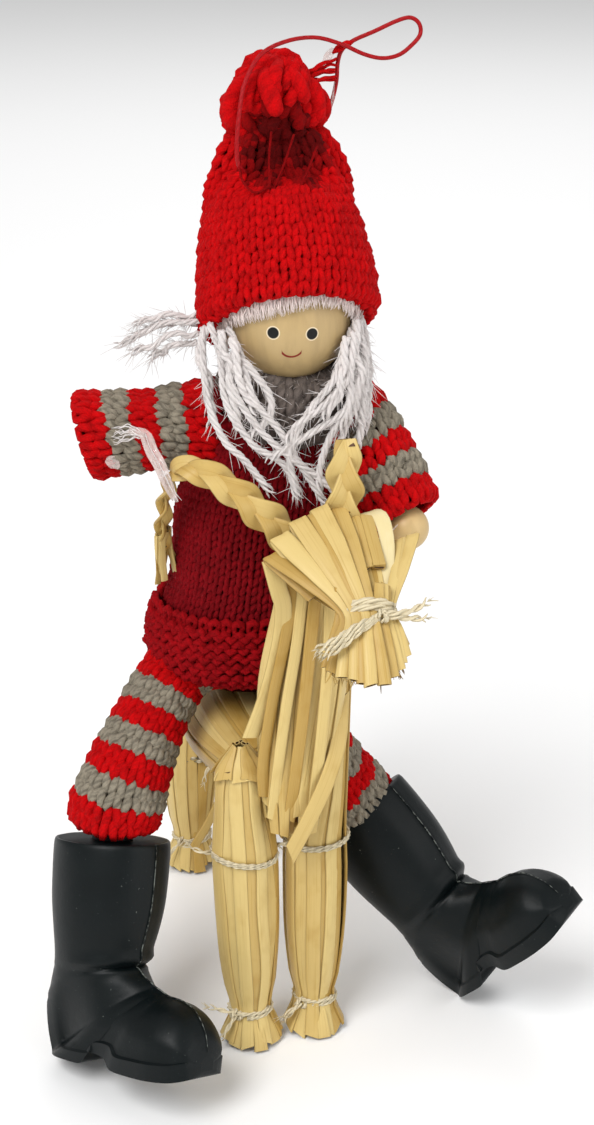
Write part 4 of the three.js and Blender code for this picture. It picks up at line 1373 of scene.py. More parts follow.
HAT = [  # x, y, z, radius, radius, lean, pleats, hollow
    (4.2, 0.0, 149.6, 15.6, 15.6, 31, 0, 0),
    (4.2, 0.1, 151.0, 16.5, 16.5, 31, 0, 0),
    (4.1, 0.3, 155.6, 16.4, 16.4, 29, 0, 0),
    (3.7, 0.6, 161.0, 15.7, 15.7, 26, 0, 0),
    (3.2, 1.0, 167.0, 14.6, 14.6, 22, 0, 0),
    (2.8, 1.5, 172.4, 13.2, 13.2, 15, 0.02, 0.0),
    (2.8, 1.8, 175.4, 12.5, 12.5, 10, 0.06, 0.2),
    (2.9, 1.9, 177.6, 11.7, 11.7, 7, 0.09, 0.64),
    (3.0, 2.0, 180.0, 10.7, 10.7, 4, 0.12, 0.84),
    (2.9, 2.2, 183.4, 9.0, 9.0, 2, 0.13, 0.86),
    (2.6, 2.4, 186.8, 6.8, 6.8, 0, 0.1, 0.76),
    (2.5, 2.4, 188.8, 5.0, 5.0, 0, 0.05, 0.5),
]
TUFT = [  # x, y, z, radius, radius, phase of the lumps, hollow
    (2.4, 2.5, 186.4, 4.6, 4.6, 0, 0.4),
    (2.2, 2.5, 187.6, 7.4, 7.4, 0, 0.55),
    (2.0, 2.6, 190.4, 7.7, 7.7, 1.4, 0.52),
    (2.0, 2.6, 194.0, 6.2, 6.2, 3.0, 0.2),
    (2.1, 2.6, 197.0, 4.2, 4.2, 4.4, 0),
    (2.0, 2.6, 199.0, 2.3, 2.3, 5.4, 0),
    (1.9, 2.6, 199.9, 1.0, 1.0, 6.0, 0),
]
PLEATS = 10
TUFT_LUMPS = 7
HAT_WALES = 38
BRIM_COURSE = 1.5
BRIM_YARN = 0.62
TUFT_WALES = 13
TUFT_COURSE = 2.8
TUFT_YARN = 1.15


def hat_relief(turn, rows):
    """Pleats round the gather, and the hollow under the tuft at the front."""
    front = np.maximum(0, -np.sin(turn)) ** 2
    return 1 + rows[:, 6] * np.cos(PLEATS * turn + 0.8 * np.sin(2 * turn)) - rows[:, 7] * front


def tuft_relief(turn, rows):
    """Lumps round the tuft, and its hollow front."""
    front = np.maximum(0, -np.sin(turn)) ** 1.5
    return 1 + 0.1 * np.cos(TUFT_LUMPS * turn + rows[:, 5]) - rows[:, 6] * front


# The hollow under the tuft is darkened with painted shade about this middle.
CAVE = (3.2, -6.5, 184.6)  # middle of the dark hollow between the tuft and the hat's pleats
CAVE_SIZE = (10.6, 9.4, 9.2)


def painted_cave_shade(course, path):
    """Painted shade: darker red wool where the gather is deep in the hollow under the tuft, left lighter
    low in the middle.
    """
    near = np.sum(((path - CAVE) / CAVE_SIZE) ** 2, axis=1)
    near = near + 0.12 * np.sin(path[:, 0] * 2.3 + path[:, 2] * 1.1)
    near = near + 0.6 * np.exp(-((path[:, 0] - 3.4) ** 2 + (path[:, 2] - 176) ** 2 / 3) / 6)
    return np.select([near < 0.6, near < 0.95], [3, 2], 0)


def hat_skin():
    """The hat without its brim and tuft."""
    return Skin(HAT, lean=[row[5] for row in HAT], relief=hat_relief)


BRIM_ARCH = 2.2  # how far the brim rises over the face, in mm


def brim_line(turn):
    """The rolled brim's middle line, tipped back with the hat."""
    x, y, z, radius, _, lean = HAT[0][:6]
    tip = math.radians(lean)
    side = np.column_stack(
        [np.cos(turn), np.sin(turn) * math.cos(tip), -np.sin(turn) * math.sin(tip)]
    )
    upward = np.tile([0, math.sin(tip), math.cos(tip)], (len(turn), 1))
    arch = BRIM_ARCH * np.maximum(0, -np.sin(turn))[:, None] ** 2
    return np.array([x, y, z]) + side * (radius - 0.2) + upward * (0.6 + arch), side, upward


# The tuft's drooping lumps: turn, height where they leave, how far they hang, thickness.
DROOPS = [
    (3.5, 193.0, 5.0, 1.3),
    (3.15, 191.0, 3.4, 1.4),
    (5.9, 193.0, 4.4, 1.4),
    (0.0, 191.0, 3.4, 1.4),
    (0.7, 194.0, 6.0, 1.3),
    (1.4, 193.0, 6.0, 1.4),
    (2.1, 194.5, 6.0, 1.3),
    (2.7, 193.0, 5.5, 1.4),
    (3.0, 197.0, 3.8, 1.1),
]
# Lumps that hang clear at the front and stand on top, and their thickness.
LOBES = [
    ([(0.4, -0.4, 198.0), (-0.6, -3.8, 196.4), (0.0, -5.9, 193.8), (0.7, -5.9, 191.9),
      (1.0, -4.4, 191.4)], 1.6),
    ([(2.4, -0.8, 199.2), (1.2, -3.6, 197.8), (0.8, -4.7, 196.0), (1.6, -4.4, 194.4)], 1.2),
    ([(-2.0, 0.8, 196.6), (-5.2, 0.0, 194.6), (-6.7, -0.6, 191.2), (-6.6, -0.8, 188.9),
      (-5.2, -0.4, 188.4)], 1.5),
    ([(6.0, 0.6, 196.2), (8.4, 0.0, 194.2), (9.8, -0.2, 191.2), (9.8, -0.2, 189.2),
      (8.6, 0.2, 188.6)], 1.5),
    ([(-1.4, -1.6, 197.6), (-3.6, -3.4, 195.6), (-4.4, -4.6, 193.0), (-3.8, -4.2, 191.4)], 1.2),
    ([(4.0, -1.2, 198.0), (5.4, -3.4, 196.0), (6.4, -4.2, 193.8), (6.2, -3.6, 192.6)], 1.3),
    ([(-1.2, 2.2, 197.6), (-1.2, 1.6, 199.6), (-0.2, 1.4, 200.2), (0.6, 2.0, 199.0)], 1.1),
    ([(2.6, 2.2, 198.6), (3.6, 1.6, 200.2), (4.6, 1.8, 199.8), (5.2, 2.4, 198.2)], 1.15),
    ([(5.0, 2.0, 198.2), (6.8, 1.4, 197.8), (7.8, 1.6, 196.0), (7.8, 2.2, 194.4)], 1.1),
]


SEWING_RADIUS = 0.24
SEWING = [
    [(0.0, -5.6, 187.6), (-0.6, -6.4, 182.6), (-0.9, -8.6, 177.4)],
    [(4.2, -5.8, 187.0), (2.2, -6.8, 182.0), (-0.4, -8.8, 177.4)],
    [(-6.0, -6.0, 184.2), (-6.2, -8.6, 180.0), (-4.2, -10.2, 177.6), (-1.6, -10.0, 178.4),
     (-0.8, -9.0, 180.2)],
    [(8.4, -6.2, 184.6), (6.0, -7.8, 179.8), (3.2, -9.6, 175.6)],
]


class ORNAMENT_OT_hat(bpy.types.Operator):
    """The knitted hat: plain courses, a gather with pleats and a tuft of thick loops"""

    bl_idname = "ornament.hat"
    bl_label = "Knitted Hat"

    def execute(self, context):
        sizes = context.scene.ornament_sizes
        rng = np.random.default_rng(61)
        # Two darker copies of the red: painted shade in the hollow under the tuft.
        shades = [yarn_paint("red", 2.6, shade) for shade in (0.46, 0.2)]
        hat = Heap("knit_hat", yarn_paint("red"), lining_paint("red"), *shades)
        knit = Knit(HAT_WALES, sizes.hat_course, sizes.hat_yarn, 11, relief=0.62, slack=0.08)
        skin = hat_skin()
        courses = int((skin.length - 3) / sizes.hat_course)
        knit.cover(hat, skin, 2.9, courses, rng, painted_cave_shade)
        brim = Knit(HAT_WALES, BRIM_COURSE, BRIM_YARN, 10, relief=-0.4)
        brim.cover(hat, Roll(brim_line, 0.8, 0.8), 0.4, 3, rng)
        self.inside(hat, skin)
        self.tuft(hat, rng)
        self.stitches(hat, rng)
        hat.build(["hat"], "red_yarn")
        return {"FINISHED"}

    def inside(self, hat, skin):
        """The cloth behind the stitches, dark with painted shade, open under the brim."""
        sides = 48
        turns = turns_round(sides)
        outside = [(length, -1.0) for length in np.linspace(skin.length, 0.8, 26)]
        inside = [(0.8, -2.2), (5.0, -2.4), (10.0, -2.6), (15.0, -5.0)]
        rings = [skin.place(np.full(sides, at), turns, lift)[0] for at, lift in outside + inside]
        hat.rings(np.array(rings), np.linspace(0, 50, len(rings)), 1)

    def tuft(self, hat, rng):
        skin = upright(TUFT, tuft_relief)
        tuft = Knit(TUFT_WALES, TUFT_COURSE, TUFT_YARN, relief=0.9, slack=0.2)
        tuft.cover(hat, skin, 1.0, 6, rng, painted_cave_shade)
        lining(hat, skin, 0, skin.length, 1.0, 1)
        for turn, z, hang, thick in DROOPS:
            radius = float(np.interp(z, [187, 191, 194, 197, 200], [8.2, 7.8, 6.0, 4.4, 2.0]))
            way = np.array([math.cos(turn), math.sin(turn), 0])
            root = np.array([2.5, 2.6, z]) + way * (radius - 1.2)
            steps = ((-1.0, 1.4), (1.4, 1.6), (2.6, 0.4 - hang / 2), (1.7, -hang))
            path = curve([root + way * out + (0, 0, rise) for out, rise in steps], 18)
            self.lump(hat, path, thick, rng)
        for points, thick in LOBES:
            self.lump(hat, curve(points, 18), thick, rng)

    def lump(self, hat, path, thick, rng):
        fat = thick * (0.75 + 0.35 * np.sin(np.linspace(0.3, 2.9, len(path))))
        fat[-1] *= 0.55
        hat.sweep(path, carried(path), fat, section=ring_section(12), start=own_start(rng))

    def stitches(self, hat, rng):
        """Sewing thread that gathers the hat, slack where it shows."""
        for line in SEWING:
            # The thread wears the first of the hollow's painted-shade reds.
            strand(hat, curve(line, 20), SEWING_RADIUS, rng, 2, THREAD)


TUNIC = [
    (-1.2, 6.8, 84.0, 20.6, 15.6),
    (-0.9, 6.6, 88.0, 20.0, 15.2),
    (-0.4, 6.3, 93.6, 18.2, 13.9),
    (0.6, 5.7, 102.0, 18.0, 13.5),
    (2.0, 4.6, 113.0, 18.6, 13.0),
    (3.2, 3.0, 124.0, 16.6, 11.6),
    (4.2, 1.4, 133.0, 12.4, 9.4),
    (4.6, 0.4, 138.4, 7.2, 6.8),
]
# The tunic's stitches start here above its lower edge, behind the folded hem.
UNDER_HEM = 8.5
TUNIC_WALES = 48
HEM_WALES = 50
HEM_COURSE = 2.3
HEM_YARN = 0.72
HEM = [
    (-1.4, 6.9, 83.0, 16.6, 12.4),
    (-1.4, 6.9, 79.6, 15.9, 12.0),
    (-1.4, 6.9, 77.4, 17.6, 13.4),
    (-1.4, 6.9, 78.4, 20.2, 15.5),
    (-1.3, 6.9, 81.8, 21.5, 16.5),
    (-1.2, 6.8, 86.0, 21.5, 16.5),
    (-1.0, 6.7, 89.8, 20.9, 16.0),
    (-0.8, 6.5, 92.4, 19.6, 14.9),
    (-0.7, 6.4, 92.6, 18.0, 13.6),
]
# The seat under the hem: a body dark with painted shade, for the shade between the hem and the goat's
# back.
SEAT = [
    (-1.4, 6.9, 82.0, 15.6, 11.6),
    (-1.6, 7.6, 76.0, 13.6, 9.6),
    (-1.8, 8.4, 72.2, 10.6, 7.6),
    (-1.8, 8.6, 70.8, 6.0, 5.0),
]


class ORNAMENT_OT_tunic(bpy.types.Operator):
    """The knitted tunic, with its edge rolled up to show the back of the stitches"""

    bl_idname = "ornament.tunic"
    bl_label = "Tunic"

    def execute(self, context):
        sizes = context.scene.ornament_sizes
        rng = np.random.default_rng(71)
        # The tunic's yarn is the red darkened as painted shade.
        tunic = Heap("knit_tunic", yarn_paint("dark_red", 2.2), lining_paint("dark_red"))
        skin = upright(TUNIC)
        courses = int((skin.length - UNDER_HEM - 1.5) / sizes.tunic_course)
        knit = Knit(TUNIC_WALES, sizes.tunic_course, sizes.tunic_yarn, 9, THREAD, relief=0.4)
        knit.cover(tunic, skin, UNDER_HEM, courses, rng)
        lining(tunic, skin, 0, skin.length, 0.8, 1)
        tunic.build(["tunic"], "dark_red_yarn")
        self.hem(rng)
        return {"FINISHED"}

    def hem(self, rng):
        hem = Heap("knit_tunic_hem", yarn_paint("hem", 2.2), lining_paint("dark_red"))
        skin = upright(HEM)
        courses = int((skin.length - 5) / HEM_COURSE)
        knit = Knit(HEM_WALES, HEM_COURSE, HEM_YARN, 10, relief=-0.55, slack=0.09)
        knit.cover(hem, skin, 4.5, courses, rng)
        lining(hem, skin, 0, skin.length, 0.9, 1)
        seat = upright(SEAT)
        lining(hem, seat, 0, seat.length, 0.0, 1)
        hem.build([], "dark_red_yarn")


SLEEVE_LEFT = [
    (-5, 4.6, 127.5, 8.4, 9.8),
    (-13, 5.0, 127.8, 7.8, 8.2),
    (-22, 6.2, 128.0, 7.6, 6.6),
    (-34.6, 8.2, 127.0, 8.1, 7.9),
]
SLEEVE_RIGHT = [
    (9, 2.0, 133.0, 8.5, 9.0),
    (15.4, 0.0, 127.5, 8.9, 9.3),
    (20.4, -5.0, 119.5, 8.6, 8.5),
    (24.2, -10.6, 112.0, 8.2, 7.9),
]
LEG_LEFT = [
    (-10, 6.0, 79.4, 5.6, 5.6),
    (-18.2, 4.4, 76.0, 5.9, 5.9),
    (-24.4, -0.2, 68.4, 6.3, 6.3),
    (-29.8, -4.6, 59.6, 7.5, 7.5),
    (-32.6, -6.4, 52.6, 8.5, 8.5),
    (-33.1, -6.7, 49.6, 7.6, 7.6),
]
LEG_RIGHT = [
    (4.6, 6.0, 75, 5.6, 5.6),
    (7.0, 5.2, 68.2, 5.8, 5.8),
    (9.8, 3.6, 59.2, 6.2, 6.2),
    (13.4, 3.6, 51, 7.1, 7.1),
    (18.2, 4.8, 43.6, 8.1, 8.1),
    (21.0, 6.0, 38.4, 8.0, 8.0),
]


LIMB_COURSE = 2.45  # height of a row of stitches on sleeves and legs, in mm
ALL_STRIPED = 99


def striped(last, stripes):
    """Two courses of grey, two of red, counted back from the red cuff; past the given count of stripes
    all is the shaded red, painted shade.
    """
    return lambda course, path: 3 if last - course >= 2 * stripes else ((last - course) // 2) % 2


def knit_limb(name, node, skin, wales, rng, mouth, stripes=ALL_STRIPED):
    """A striped sleeve or leg; the stripe count says how many its end has before the shaded red yarn,
    painted shade.
    """
    sizes = bpy.context.scene.ornament_sizes
    stripe = yarn_paint("red"), yarn_paint("grey", 2.0, 1.0, 0.3, 0.45)
    heap = Heap(name, *stripe, lining_paint("red"), yarn_paint("dark_red", 2.2))
    courses = int((skin.length - 1.2) / LIMB_COURSE)
    first = skin.length - 1.6 - (courses - 1) * LIMB_COURSE
    knit = Knit(wales, LIMB_COURSE, sizes.sleeve_yarn, relief=0.6, slack=0.11)
    knit.cover(heap, skin, first, courses, rng, striped(courses - 1, stripes))
    lining(heap, skin, 0, skin.length - 0.5, 1.0, 2, mouth=mouth)
    heap.build([node], "striped_yarn")


class ORNAMENT_OT_sleeves(bpy.types.Operator):
    """Striped sleeves; the left one hangs open"""

    bl_idname = "ornament.sleeves"
    bl_label = "Sleeves"

    def execute(self, context):
        left = Skin(SLEEVE_LEFT, side=(0, 1, 0), shear=-0.17)
        right = Skin(SLEEVE_RIGHT, side=(0, 1, 0))
        rng = np.random.default_rng(81)
        # Past five stripes the left sleeve's shoulder is painted shade.
        knit_limb("knit_sleeve_left", "sleeve_left", left, 16, rng, 6.0, 5)
        knit_limb("knit_sleeve_right", "sleeve_right", right, 16, rng, 2.5)
        return {"FINISHED"}


class ORNAMENT_OT_trousers(bpy.types.Operator):
    """Striped knitted legs that end over the boots"""

    bl_idname = "ornament.trousers"
    bl_label = "Knitted Legs"

    def execute(self, context):
        rng = np.random.default_rng(91)
        knit_limb("knit_leg_left", "leg_left", Skin(LEG_LEFT), 17, rng, 2.0)
        knit_limb("knit_leg_right", "leg_right", Skin(LEG_RIGHT), 18, rng, 2.0)
        return {"FINISHED"}


SCARF_MIDDLE = np.array([4.4, 0.6, 136.2])
SCARF_HALF = np.array([9.4, 8.6, 0])
SCARF_SAG = 2.4  # how far the collar drops at the front, in mm
SCARF_WALES = 26
SCARF_COURSE = 2.6
SCARF_COURSES = 10
SCARF_YARN = 0.95


def scarf_line(turn):
    """The collar's middle line round the neck."""
    front = np.maximum(0, -np.sin(turn))[:, None]
    outward = np.column_stack([np.cos(turn), np.sin(turn), np.zeros(len(turn))])
    line = SCARF_MIDDLE + outward * SCARF_HALF
    line = line - np.array([0, 0, SCARF_SAG]) * front**2
    upward = np.tile([0.0, 0.0, 1.0], (len(turn), 1))
    return line, outward, upward


class ORNAMENT_OT_scarf(bpy.types.Operator):
    """A fuzzy mohair collar"""

    bl_idname = "ornament.scarf"
    bl_label = "Scarf"

    def execute(self, context):
        rng = np.random.default_rng(101)
        sizes = context.scene.ornament_sizes
        finishes = yarn_paint("mohair", 2.6, 1.15, 0.5, 0.5), lining_paint("mohair")
        # Painted highlight: the loose fibres are a lightened copy of the mohair.
        scarf = Heap("knit_scarf", *finishes, fibre_paint("mohair", 2.0))
        roll = Roll(scarf_line, 2.9, 5.8, -150)
        knit = Knit(SCARF_WALES, SCARF_COURSE, SCARF_YARN, relief=0.6, slack=0.14)
        knit.cover(scarf, roll, 0, SCARF_COURSES, rng)
        self.core(scarf)
        for _ in range(sizes.scarf_hairs):
            turn = np.array([rng.uniform(0, TURN)])
            root, way = roll.place(rng.uniform(0, 24), turn)
            hair(scarf, root[0], way[0], rng.uniform(1.0, 2.6), rng, 0.085, 2, 0.3, 0.7, 4)
        scarf.build(["scarf"], "grey_mohair")
        return {"FINISHED"}

    def core(self, scarf):
        """The roll under the stitches, dark with painted shade."""
        many = 48
        turns = turns_round(many)
        core = Roll(scarf_line, 2.1, 4.4, 0)
        around = turns_round(16) * core.across
        rings = np.array([core.place(np.full(many, length), turns)[0] for length in around])
        scarf.rings(rings.transpose(1, 0, 2), np.arange(float(many)), 1, closed=True)


# Hair strands down the chest. They start under the brim and hang in front of scarf and tunic.
STRANDS = [
    [(-11.4, -5.0, 152.3), (-10.6, -11.0, 143.2), (-9.2, -13.5, 135.6), (-5.4, -14.0, 131.2),
     (-0.9, -14.5, 127.3), (3.1, -15.5, 118.9)],
    [(-9.0, -6.0, 151.4), (-6.5, -11.5, 144.0), (-3.8, -14.0, 137.3), (0.5, -14.5, 131.6),
     (4.9, -15.0, 123.8), (8.4, -17.0, 118.0)],
    [(-8.0, -9.0, 147.6), (-4.4, -12.4, 143.0), (-2.0, -13.4, 138.2), (-2.8, -14.2, 134.4),
     (-5.8, -14.0, 131.8)],
    [(-10.2, -7.0, 149.4), (-8.6, -12.4, 140.8), (-4.8, -14.6, 134.4), (0.5, -15.2, 128.0),
     (6.4, -15.6, 123.8), (11.6, -17.2, 119.4)],
    [(16.6, -5.0, 151.4), (16.4, -10.4, 143.0), (12.0, -13.6, 135.6), (6.4, -14.6, 132.0),
     (0.4, -15.2, 129.6), (-3.4, -14.2, 127.4)],
    [(15.0, -8.0, 150.2), (13.4, -12.4, 142.0), (8.2, -14.2, 136.8), (2.6, -14.6, 134.4),
     (0.4, -15.4, 130.4)],
    [(13.4, -9.6, 148.6), (10.6, -12.8, 142.0), (5.4, -14.2, 136.4), (1.6, -15.2, 128.6),
     (2.8, -16.0, 119.8)],
    [(17.6, -4.0, 150.4), (17.8, -8.4, 142.4), (17.2, -10.4, 135.8), (15.4, -11.6, 132.0)],
    [(15.8, -7.0, 150.2), (14.6, -12.2, 139.4), (10.2, -14.2, 133.6), (7.6, -15.0, 126.6),
     (6.8, -16.2, 119.8)],
    [(-13.4, -3.0, 150.4), (-13.8, -8.0, 143.6), (-13.4, -11.4, 137.0), (-10.6, -13.6, 131.4),
     (-6.6, -14.8, 127.6), (-2.0, -15.6, 121.0)],
    [(17.0, -6.0, 148.6), (15.6, -11.4, 141.0), (12.4, -13.8, 131.6), (10.4, -15.0, 126.0),
     (12.0, -16.8, 120.2)],
]
# Thicker strands close beside the face.
SIDE_STRANDS = [
    [(-9.6, -8.4, 151.0), (-9.4, -11.0, 145.6), (-9.0, -12.4, 139.0), (-8.4, -13.2, 133.0)],
    [(-12.8, -3.0, 150.6), (-13.4, -6.4, 144.4), (-13.2, -9.4, 138.4), (-12.4, -11.6, 133.4)],
    [(-8.2, -9.8, 150.8), (-7.8, -12.0, 145.2), (-6.6, -13.0, 140.0), (-4.2, -13.8, 136.2)],
    [(15.0, -8.6, 151.8), (15.6, -10.8, 146.0), (15.2, -12.4, 139.6), (13.6, -13.4, 133.6)],
    [(16.6, -6.6, 151.8), (17.2, -9.2, 145.4), (16.8, -11.2, 138.6), (15.2, -12.6, 132.0)],
    [(17.8, -3.6, 151.4), (18.2, -6.8, 144.6), (17.8, -9.4, 138.0), (16.8, -11.4, 131.0)],
    [(14.4, -9.4, 150.4), (14.4, -12.0, 143.8), (13.6, -13.2, 138.2), (10.8, -14.2, 132.2)],
    [(16.0, -5.0, 150.0), (16.6, -8.8, 142.0), (16.0, -11.4, 135.0), (14.6, -12.8, 127.6)],
    [(17.2, -2.0, 150.6), (18.4, -5.4, 143.4), (18.2, -8.4, 136.6), (16.4, -10.8, 130.2)],
    [(13.2, -10.2, 149.6), (12.8, -12.8, 143.4), (11.0, -13.8, 139.0), (7.6, -14.4, 134.6)],
]
# Wisps that stand off the left side of the head.
WISPS = [
    [(-12.6, 0.4, 150.8), (-18.0, 2.4, 150.2), (-23.4, 2.6, 148.8), (-27.4, 2.6, 147.2)],
    [(-12.8, -0.4, 149.0), (-18.4, 1.6, 148.0), (-23.0, 2.0, 146.2), (-26.4, 2.0, 144.6)],
    [(-12.4, 1.4, 152.0), (-17.6, 3.2, 152.0), (-22.0, 3.4, 150.8), (-25.0, 3.4, 149.8)],
    [(-13.0, 0.4, 147.4), (-17.0, 1.6, 146.0), (-20.6, 2.0, 144.4), (-22.6, 2.0, 142.8)],
    [(-12.6, 2.4, 150.0), (-18.2, 4.4, 149.6), (-24.0, 4.6, 147.8), (-29.0, 4.4, 145.8)],
]


STRAND_STEPS = 56


def head_band(turn, height, radius):
    """A ring on the head under the brim, tipped back with the hat."""
    tip = math.radians(29)
    out = np.sqrt(max(radius**2 - height**2, 1.0))
    deep = out * np.sin(turn)
    y = deep * math.cos(tip) + height * math.sin(tip)
    z = height * math.cos(tip) - deep * math.sin(tip)
    return np.array(HEAD_MIDDLE) + np.column_stack([out * np.cos(turn), y, z])


class ORNAMENT_OT_hair(bpy.types.Operator):
    """White yarn hair: a combed fringe, locks down the chest and loose wisps"""

    bl_idname = "ornament.hair"
    bl_label = "Hair"

    def execute(self, context):
        self.fringe(np.random.default_rng(111), context.scene.ornament_sizes.fringe_hairs)
        self.locks(np.random.default_rng(112))
        return {"FINISHED"}

    def fringe(self, rng, count):
        # The band under the fringe hairs wears a darkened copy of the blush, painted shade beneath them.
        heap = Heap("yarn_fringe", fibre_paint("blush"), fibre_paint("blush", 0.6))
        turns = turns_round(64)
        profile = [(1.2, 12.7), (2.0, 13.2), (3.4, 13.5), (6.0, 13.3), (6.0, 12.4), (1.6, 12.3)]
        rings = []
        for height, radius in profile:
            rough = radius + 0.12 * np.sin(23 * turns) + rng.normal(0, 0.06, 64)
            rings.append([head_band(np.array([t]), height, r)[0] for t, r in zip(turns, rough)])
        heap.rings(np.array(rings).transpose(1, 0, 2), np.arange(64.0), 1, closed=True)
        for _ in range(count):
            turn = rng.uniform(0, TURN, 1)
            root = head_band(turn, rng.uniform(1.5, 5.0), 12.9 + rng.uniform(0, 0.5))[0]
            front = max(0.0, -math.sin(turn[0]))
            low = rng.uniform(-2.2, 0.4) - 1.6 * (1 - front) - 0.6 * math.cos(3 * turn[0])
            tip = head_band(turn + rng.normal(0, 0.08), low, 12.5 + rng.uniform(0.1, 1.4))[0]
            middle = (root + tip) / 2 + (root - np.array(HEAD_MIDDLE)) * rng.uniform(0.03, 0.09)
            strand(heap, curve([root, middle, tip], 6), 0.13, rng, 0, FIBRE, 0.7)
        heap.build(["hair_band"], "white_yarn")

    def locks(self, rng):
        finishes = soft_paint("white"), fibre_paint("white")
        left, right = Heap("yarn_lock_left", *finishes), Heap("yarn_lock_right", *finishes)
        for group, radius, hairs in ((STRANDS, 0.72, 90), (SIDE_STRANDS, 0.84, 80), (WISPS, 0.6, 70)):
            for points in group:
                heap = left if points[0][0] < HEAD_MIDDLE[0] else right
                self.lock(heap, points, rng, radius, hairs)
        left.build(["hair_lock_left"], "white_yarn")
        right.build(["hair_lock_right"], "white_yarn")

    def lock(self, heap, points, rng, radius, hairs):
        path = shaken(curve(points, STRAND_STEPS), rng, 0.35, 5, (1, 0.5, 1))
        plied(heap, path, radius, 6.5, rng, plies=3, frayed=4.0)
        for _ in range(hairs):
            k = rng.integers(3, STRAND_STEPS - 3)
            way = unit(path[k + 2] - path[k - 2]) + rng.normal(0, 0.35, 3)
            hair(heap, path[k], way, rng.uniform(1.5, 4.5), rng, 0.06, 1, 0.1, 0.3)


# ---- Boots ----------------------------------------------------------------------------------

BOOT_HEIGHT = 44.5
BOOT_LENGTH = 41.0
SHAFT_LONG = 12.4
SHAFT_WIDE = 11.3
FOOT_WIDE = 9.0
SOLE_THICK = 3.4
SHAFT_FRONT = 0.4 + 2 * SHAFT_LONG
# Rows: back x, back z, front x, front z, half width, share of a shoe's section, sole's width.
BOOT_ROWS = [
    (1.4, BOOT_HEIGHT, SHAFT_FRONT - 0.9, BOOT_HEIGHT, SHAFT_WIDE - 1.0, 0, 1),
    (0.5, BOOT_HEIGHT - 1.2, SHAFT_FRONT, BOOT_HEIGHT - 1.2, SHAFT_WIDE, 0, 1),
    (0.3, 33.0, SHAFT_FRONT - 0.6, 33.0, SHAFT_WIDE - 0.2, 0, 1),
    (0.9, 25.8, SHAFT_FRONT - 2.2, 25.8, SHAFT_WIDE - 1.0, 0, 1),
    (1.6, 20.0, SHAFT_FRONT - 3.9, 20.5, SHAFT_WIDE - 2.1, 0.1, 1),
    (0.5, 14.6, 22.0, 18.9, FOOT_WIDE - 0.5, 0.3, 0.7),
    (-0.7, 10, 23.8, 17.6, FOOT_WIDE - 0.9, 0.5, 0.6),
    (-0.2, 4.6, 25.2, 16.9, FOOT_WIDE - 1.2, 0.8, 0.5),
    (1.0, 0.3, 26.2, 16.4, FOOT_WIDE - 1.4, 1, 0.45),
    (4.2, 0, 26.8, 16.2, FOOT_WIDE - 1.3, 1, 0.8),
    (8, 0, 27.4, 16.0, FOOT_WIDE - 1.2, 1, 0.94),
    (13.2, 0, 28.0, 15.8, FOOT_WIDE - 1.4, 1, 0.94),
    (14.2, 2.3, 28.4, 15.6, FOOT_WIDE - 1.5, 1, 0.92),
    (19.4, 2.2, 29.4, 15.3, FOOT_WIDE - 1.1, 1, 0.92),
    (22.4, 0.3, 30.2, 15.0, FOOT_WIDE - 0.4, 1, 0.94),
    (28, 0, 32, 14.9, FOOT_WIDE, 1, 0.95),
    (33, 0, 34.6, 14.5, FOOT_WIDE - 0.1, 1, 0.95),
    (37.4, 0.2, 37.8, 12.9, FOOT_WIDE - 1.2, 1, 0.92),
    (BOOT_LENGTH - 0.9, 0.8, BOOT_LENGTH - 0.8, 9.6, FOOT_WIDE - 3.1, 1, 0.88),
    (BOOT_LENGTH - 0.1, 1.3, BOOT_LENGTH - 0.1, 7.0, FOOT_WIDE - 5.0, 1, 0.85),
    (BOOT_LENGTH + 0.2, 2.2, BOOT_LENGTH + 0.2, 5.2, FOOT_WIDE - 7.0, 1, 0.8),
]
ROUND_SIDE = [(0, 0), (0.067, 0.5), (0.25, 0.866), (0.5, 1), (0.75, 0.866), (0.933, 0.5), (1, 0)]
PLUG = (0.4 + SHAFT_LONG, 4.2, 4.5)  # x, radius, rise
SEAM_SIDE = 21  # the point of a section that lies on the middle of its front
LEFT_BOOT = ((-46.7, -13.0, 1.6), -51, 12.6, -18.4)  # heel, yaw, pitch, roll
RIGHT_BOOT = ((41.7, -5.7, -0.4), -53.8, 46, 12.4)


def shoe_side(tall, tread):
    """Half of a shoe's section: the sole's corner, its welt and the rounded upper."""
    sole = min(0.45, SOLE_THICK / tall)
    rim = min(1, tread + 0.06)
    return [(0, 0), (0, tread), (sole, rim), (sole + 0.03, rim - 0.07), (0.6, 0.88), (0.88, 0.5), (1, 0)]


def boot_half(row, fine):
    """One side of a section from the sole's middle to the top's, as places in the boot's frame."""
    back, front = np.array([row[0], 0, row[1]]), np.array([row[2], 0, row[3]])
    wide, shoe, tread = row[4:]
    shoe_like = np.array(shoe_side(np.linalg.norm(front - back), tread))
    side = np.array(ROUND_SIDE) * (1 - shoe) + shoe_like * shoe
    side = spline(side, fine) * (1 - shoe) + side_of(side, fine) * shoe
    places = back + (front - back) * side[:, :1]
    places[:, 1] = wide * side[:, 1]
    return places


def side_of(side, fine):
    """The section with its sole's corners kept, and a soft curve over its top."""
    steps = np.arange(len(side))
    where = fine * (len(side) - 1)
    sharp = np.column_stack([np.interp(where, steps, side[:, k]) for k in (0, 1)])
    soft = spline(side, fine)
    share = np.clip(where - 3, 0, 1)[:, None]
    return sharp * (1 - share) + soft * share


